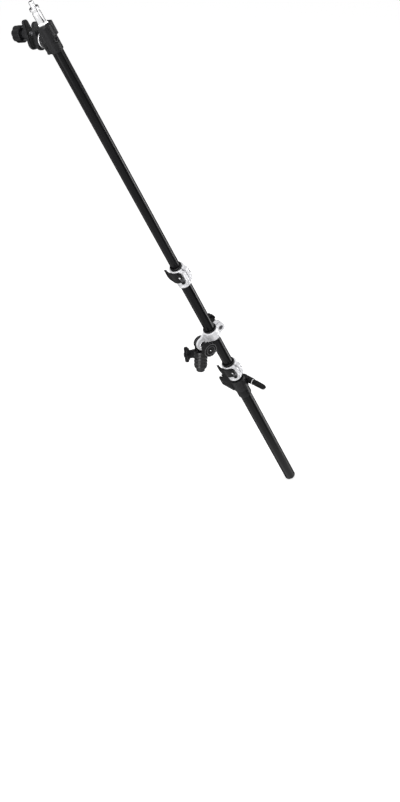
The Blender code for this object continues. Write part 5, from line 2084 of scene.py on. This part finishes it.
@dataclass
class HeadClamp:
    """Swivelling screw clamp: jaws, pads, stud, washer and knob.

    Attributes:
        stud_level: Level of the stud over the clamp's axis.
        stud_low: Inner end of the stud, along Y.
        stud_high: Its outer end.
        washer_low: Inner face of the knob's washer, along Y.
        washer_high: Its outer face.
        washer_radius: Its radius.
        knob_seat: Foot of the knob, along Y.
        knob: The round clamp knob.
    """

    stud_level: float = 0.0125
    stud_low: float = 0.0268
    stud_high: float = 0.0736
    washer_low: float = 0.0600
    washer_high: float = 0.0616
    washer_radius: float = 0.008
    knob_seat: float = 0.0619
    knob: HandKnob = HandKnob(
        radius=0.0152,
        lobes=7,
        depth=0.0013,
        head=0.020,
        crown=0.0003,
        soft=0.0035,
        rings=(0.7,),
        bore=M8_HOLE,
        bore_depth=0.017,
    )

    def build(self, threads: Tree) -> None:
        """Puts the clamp's pieces on their bodies.

        Args:
            threads: The tree that winds a thread.
        """
        place = HEAD_CLAMP_PLACE
        for node, body, finish, passes in (
            ("fixed_jaw", "head_clamp", BLACK_PAINT, 6),
            ("moving_jaw", "moving_jaw", BLACK_PAINT, 6),
            ("fixed_jaw_pad", "head_clamp", RUBBER, 3),
            ("moving_jaw_pad", "moving_jaw", RUBBER, 3),
        ):
            shape = relaxed(solid_of(node, place), voxel=0.0003, passes=passes)
            show(f"{node}_soft", shape, place, finish, body, [node])
        way = place @ shift(0, 0, self.stud_level) @ ALONG_Y
        screw = Screw(M8, self.stud_low, self.stud_high, M8_PITCH)
        core = cylinder(screw.core(), self.stud_low, self.stud_high)
        shape = boolean(core, add=[screw.shape(threads)])
        show("threaded_stud", shape, way, DARK_STEEL, "head_clamp", ["clamp_stud"])
        ring = washer(M8_HOLE, self.washer_radius, self.washer_low, self.washer_high)
        show("clamp_knob_washer", ring, way, CROSS_STEEL, "moving_jaw", ["head_knob_washer"])
        way = way @ shift(0, 0, self.knob_seat)
        show("clamp_hand_knob", self.knob.shape(), way, BLACK_PLASTIC, "head_knob", ["head_knob"])


@dataclass
class LowerClamp:
    """Split clamp on the lower tube with its rim slot, liners, bolt, washer and grip.

    Attributes:
        bore: Radius of the clamp's bore.
        half_height: Half the height of its collar.
        drill_past: How far the bore's drill runs past both ends.
        reach: The bolt's distance from the arm's axis.
        level: The bolt's level.
        liner_tube: Radius of the liner's bore.
        liner_wall: Wall of the liner in the clamp.
        tail: How far the liner stands out under the clamp.
        tail_wall: Wall of the liner there.
        tail_chamfer: Chamfer of its lower end.
        liner_edge: Reach of the liner's roundings.
        washer_low: Inner face of the grip's washer, along its bolt.
        washer_high: Its outer face.
        washer_radius: Its radius.
    """

    bore: float = 0.0168
    half_height: float = 0.020
    drill_past: float = 0.005
    reach: float = 0.0238
    level: float = -0.0115
    liner_tube: float = 0.0153
    liner_wall: float = 0.0012
    tail: float = 0.027
    tail_wall: float = 0.0024
    tail_chamfer: float = 0.001
    liner_edge: float = 0.0004
    washer_low: float = 0.0253
    washer_high: float = 0.0275
    washer_radius: float = 0.0085

    def liner(self) -> bmesh.types.BMesh:
        """The plastic liner with its thicker tail."""
        inner = self.liner_tube
        wall = inner + self.liner_wall
        tail_wall = inner + self.tail_wall
        foot = -self.half_height - GAP
        top = self.half_height - GAP
        low = foot - self.tail
        outline = [
            (inner, low),
            (tail_wall - self.tail_chamfer, low),
            (tail_wall, low + self.tail_chamfer),
            (tail_wall, foot),
            (wall, foot),
            (wall, top),
            (inner, top),
        ]
        return lathe(outline, self.liner_edge)

    def build(self) -> None:
        """Puts the clamp's pieces on their bodies."""
        place = LOWER_CLAMP_PLACE
        body = relaxed(solid_of("lower_clamp_body", place), voxel=0.0005, passes=6)
        end = self.half_height + self.drill_past
        body = boolean(body, cut=[cylinder(self.bore, -end, end, segments=ROUND)])
        show("lower_clamp_casting", body, place, BLACK_PAINT, "lower_clamp", ["lower_clamp_body"])
        show("lower_clamp_bush", self.liner(), place, BLACK_PLASTIC, "lower_clamp", ["lower_clamp_liner"])
        slot = relaxed(solid_of("rim_slot_liner", place), voxel=0.0003, passes=3)
        show("rim_slot_rubber", slot, place, RUBBER, "lower_clamp", ["rim_slot_liner"])
        outward = place @ along((0, -1, 0), (self.reach, 0, self.level))
        ring = washer(M8_HOLE, self.washer_radius, self.washer_low, self.washer_high)
        show("lower_grip_washer", ring, outward, CROSS_STEEL, "lower_clamp", ["lower_clamp_washer"])
        grip = relaxed(solid_of("lower_clamp_grip", place), voxel=0.0003, passes=5)
        show("wing_grip", grip, place, BLACK_PLASTIC, "clamp_grip", ["lower_clamp_grip"])


@dataclass(frozen=True)
class Panel:
    """A round panel far off in the studio that only gloss shows: a black flag or a bright strip.

    Attributes:
        towards: Direction of its middle.
        full: Angle from its middle, in degrees, up to which it has its full tone.
        end: Angle at which it has faded out.
        tone: Its brightness.
    """

    towards: tuple[float, float, float]
    full: float
    end: float
    tone: float

    def over(self, tree: bpy.types.NodeTree, tone: bpy.types.NodeSocket | float) -> bpy.types.NodeSocket:
        """The panel laid over what is behind it.

        Args:
            tree: The world's nodes.
            tone: Brightness behind the panel.

        Returns:
            The brightness with the panel.
        """
        place = tree.nodes.new("ShaderNodeTexCoord")
        near = tree.nodes.new("ShaderNodeVectorMath")
        near.operation = "DOT_PRODUCT"
        near.inputs[1].default_value = Vector(self.towards).normalized()
        tree.links.new(place.outputs["Generated"], near.inputs[0])
        share = tree.nodes.new("ShaderNodeMapRange")
        share.interpolation_type = "SMOOTHSTEP"
        share.inputs["From Min"].default_value = math.cos(math.radians(self.end))
        share.inputs["From Max"].default_value = math.cos(math.radians(self.full))
        tree.links.new(near.outputs["Value"], share.inputs["Value"])
        mix = tree.nodes.new("ShaderNodeMix")
        tree.links.new(share.outputs["Result"], mix.inputs["Factor"])
        if isinstance(tone, float):
            mix.inputs["A"].default_value = tone
        else:
            tree.links.new(tone, mix.inputs["A"])
        mix.inputs["B"].default_value = self.tone
        return mix.outputs["Result"]


@dataclass(frozen=True)
class Lamp:
    """A soft square lamp that faces the adapter's foot.

    Attributes:
        name: Its name.
        place: Where it stands.
        size: Its side.
        power: Watts.
    """

    name: str
    place: tuple[float, float, float]
    size: float
    power: float

    def build(self) -> None:
        """Hangs the lamp in the studio."""
        data = bpy.data.lights.new(self.name, "AREA")
        data.shape = "RECTANGLE"
        data.size = self.size
        data.size_y = self.size
        data.energy = self.power
        lamp = bpy.data.objects.new(self.name, data)
        lamp.matrix_world = along(self.place, self.place)
        bpy.context.scene.collection.objects.link(lamp)


@dataclass
class Studio:
    """Camera, lamps, floor and surroundings.

    Attributes:
        eye: Place of the camera.
        forward: Direction that it looks in.
        up: Its upward direction.
        lens: Its focal length in millimetres.
        sensor: Width of its sensor in millimetres.
        clip: Nearest and farthest distance that it sees.
        surround: Brightness of the surroundings as light.
        lamps: A key lamp and a fill.
        panels: The wide dark wall behind the object, in two parts. The dark stripe right of its
            middle, in two parts. The bright strip for the tubes' light line, in two parts. The bright
            panel for the ribs.
        floor_level: Level of the floor.
        floor_size: Half the side of the floor.
        floor_tone: Tone of the floor.
        floor_roughness: Roughness of the floor.
        floor_lift: Glow of the floor as the camera sees it.
    """

    eye: tuple[float, float, float] = (-1.09030, -1.57546, 1.23081)
    forward: tuple[float, float, float] = (0.46850, 0.67630, -0.56844)
    up: tuple[float, float, float] = (0.30011, 0.48334, 0.82239)
    lens: float = 41.297
    sensor: float = 36.0
    clip: Point = (0.05, 50)
    surround: float = 0.62
    lamps: tuple[Lamp, ...] = (
        Lamp("key_lamp", (-2.2, -1.6, 2.6), 1.6, 66),
        Lamp("fill_lamp", (2.2, -2.4, 1.6), 1.4, 22),
    )
    panels: tuple[Panel, ...] = (
        Panel((0.411, 0.883, -0.225), 44, 55, 0.02),
        Panel((0.468, 0.676, -0.568), 36, 50, 0.02),
        Panel((0.640, -0.750, -0.120), 15, 22, 0.06),
        Panel((0.612, -0.660, -0.430), 9, 16, 0.12),
        Panel((0.965, -0.243, -0.085), 5, 9, 14.0),
        Panel((0.930, -0.200, -0.300), 5, 9, 6.0),
        Panel((-0.800, -0.500, -0.320), 12, 24, 8.0),
    )
    floor_level: float = -0.478
    floor_size: float = 14
    floor_tone: Colour = (0.9, 0.9, 0.9)
    floor_roughness: float = 0.9
    floor_lift: float = 0.42

    def camera(self) -> None:
        """Sets the camera at its place."""
        data = bpy.data.cameras.new("camera")
        data.lens = self.lens
        data.sensor_width = self.sensor
        data.clip_start, data.clip_end = self.clip
        ahead = Vector(self.forward).normalized()
        right = ahead.cross(Vector(self.up)).normalized()
        upward = right.cross(ahead)
        turn = Matrix((right, upward, -ahead)).transposed().to_4x4()
        camera = bpy.data.objects.new("camera", data)
        camera.matrix_world = Matrix.Translation(self.eye) @ turn
        bpy.context.scene.collection.objects.link(camera)
        bpy.context.scene.camera = camera

    def surroundings(self) -> None:
        """White to the camera, soft grey as light, and white with the panels in reflections."""
        world = bpy.data.worlds.new("studio")
        world.use_nodes = True
        nodes = world.node_tree.nodes
        links = world.node_tree.links
        soft = nodes["Background"]
        soft.inputs["Color"].default_value = WHITE
        soft.inputs["Strength"].default_value = self.surround
        white = nodes.new("ShaderNodeBackground")
        white.inputs["Strength"].default_value = 1.0
        mirrored = nodes.new("ShaderNodeBackground")
        tone: bpy.types.NodeSocket | float = 1.0
        for panel in self.panels:
            tone = panel.over(world.node_tree, tone)
        links.new(tone, mirrored.inputs["Strength"])
        for backdrop in (white, mirrored):
            backdrop.inputs["Color"].default_value = WHITE
        path = nodes.new("ShaderNodeLightPath")
        clear = nodes.new("ShaderNodeMath")
        clear.operation = "MAXIMUM"
        links.new(path.outputs["Is Camera Ray"], clear.inputs[0])
        links.new(path.outputs["Is Transmission Ray"], clear.inputs[1])
        first = nodes.new("ShaderNodeMixShader")
        links.new(clear.outputs[0], first.inputs["Fac"])
        links.new(soft.outputs[0], first.inputs[1])
        links.new(white.outputs[0], first.inputs[2])
        second = nodes.new("ShaderNodeMixShader")
        links.new(path.outputs["Is Glossy Ray"], second.inputs["Fac"])
        links.new(first.outputs[0], second.inputs[1])
        links.new(mirrored.outputs[0], second.inputs[2])
        links.new(second.outputs[0], nodes["World Output"].inputs["Surface"])
        bpy.context.scene.world = world

    def _floor_material(self) -> bpy.types.Material:
        """A matt pale finish that glows a little to the camera."""
        made = bpy.data.materials.new("pale_floor")
        made.use_nodes = True
        nodes = made.node_tree.nodes
        links = made.node_tree.links
        shader = nodes["Principled BSDF"]
        shader.inputs["Base Color"].default_value = (*self.floor_tone, 1)
        shader.inputs["Roughness"].default_value = self.floor_roughness
        shader.inputs["Specular IOR Level"].default_value = 0.0
        path = nodes.new("ShaderNodeLightPath")
        lift = nodes.new("ShaderNodeMath")
        lift.operation = "MULTIPLY"
        lift.inputs[1].default_value = self.floor_lift
        links.new(path.outputs["Is Camera Ray"], lift.inputs[0])
        shader.inputs["Emission Color"].default_value = WHITE
        links.new(lift.outputs[0], shader.inputs["Emission Strength"])
        return made

    def floor(self) -> None:
        """A wide pale floor that keeps the object's soft shadow."""
        bm = bmesh.new()
        bmesh.ops.create_grid(bm, x_segments=1, y_segments=1, size=self.floor_size)
        bmesh.ops.translate(bm, verts=bm.verts, vec=(0, 0, self.floor_level))
        floor = bpy.data.objects.new("floor", to_mesh(bm, "floor"))
        floor.data.materials.append(self._floor_material())
        bpy.context.scene.collection.objects.link(floor)
        floor.visible_glossy = False

    def build(self) -> None:
        """Sets up the whole studio."""
        self.camera()
        for lamp in self.lamps:
            lamp.build()
        self.surroundings()
        self.floor()
        bpy.context.scene.view_settings.view_transform = "Standard"


def dress_frame() -> None:
    """Gives every node of the frame the finish of its slot."""
    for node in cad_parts.values():
        for slot in node.material_slots:
            name = slot.material.name.split(".")[0]
            slot.material = FINISH_OF_SLOT[name].material()


def boom_tubes() -> list[BoomTube]:
    """The arm's three tubes."""
    return [
        BoomTube("upper_boom_tube", "upper_tube", "upper_section", UPPER_TUBE, *UPPER_TUBE_ENDS),
        BoomTube("middle_boom_tube", "middle_tube", "middle_section", MIDDLE_TUBE, *MIDDLE_TUBE_ENDS),
        BoomTube("lower_boom_tube", "lower_tube", "lower_section", LOWER_TUBE, *LOWER_TUBE_ENDS),
    ]


def flip_locks() -> list[FlipLock]:
    """The arm's two flip locks."""
    upper = FlipLock(
        "upper_lock",
        UPPER_LOCK_PLACE,
        body="middle_section",
        lever_body="upper_lever",
        carrier=MIDDLE_TUBE,
        slider=UPPER_TUBE,
    )
    lower = FlipLock(
        "lower_lock",
        LOWER_LOCK_PLACE,
        body="lower_section",
        lever_body="lower_lever",
        carrier=LOWER_TUBE,
        slider=MIDDLE_TUBE,
    )
    return [upper, lower]


def main() -> None:
    """Builds the looks round the frame."""
    logging.basicConfig(level=logging.INFO, format="%(message)s")
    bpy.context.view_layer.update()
    Studio().build()
    dress_frame()
    threads = thread_tree(STEEL)
    adapter = StandAdapter()
    adapter.build()
    SocketLock(adapter).build(threads)
    Pivot().build()
    Saddle().build()
    for tube in boom_tubes():
        tube.build()
    EndCap().build()
    for lock in flip_locks():
        lock.build(threads)
    HeadBlock().build(threads)
    HeadClamp().build(threads)
    LowerClamp().build()


if __name__ == "__main__":
    main()
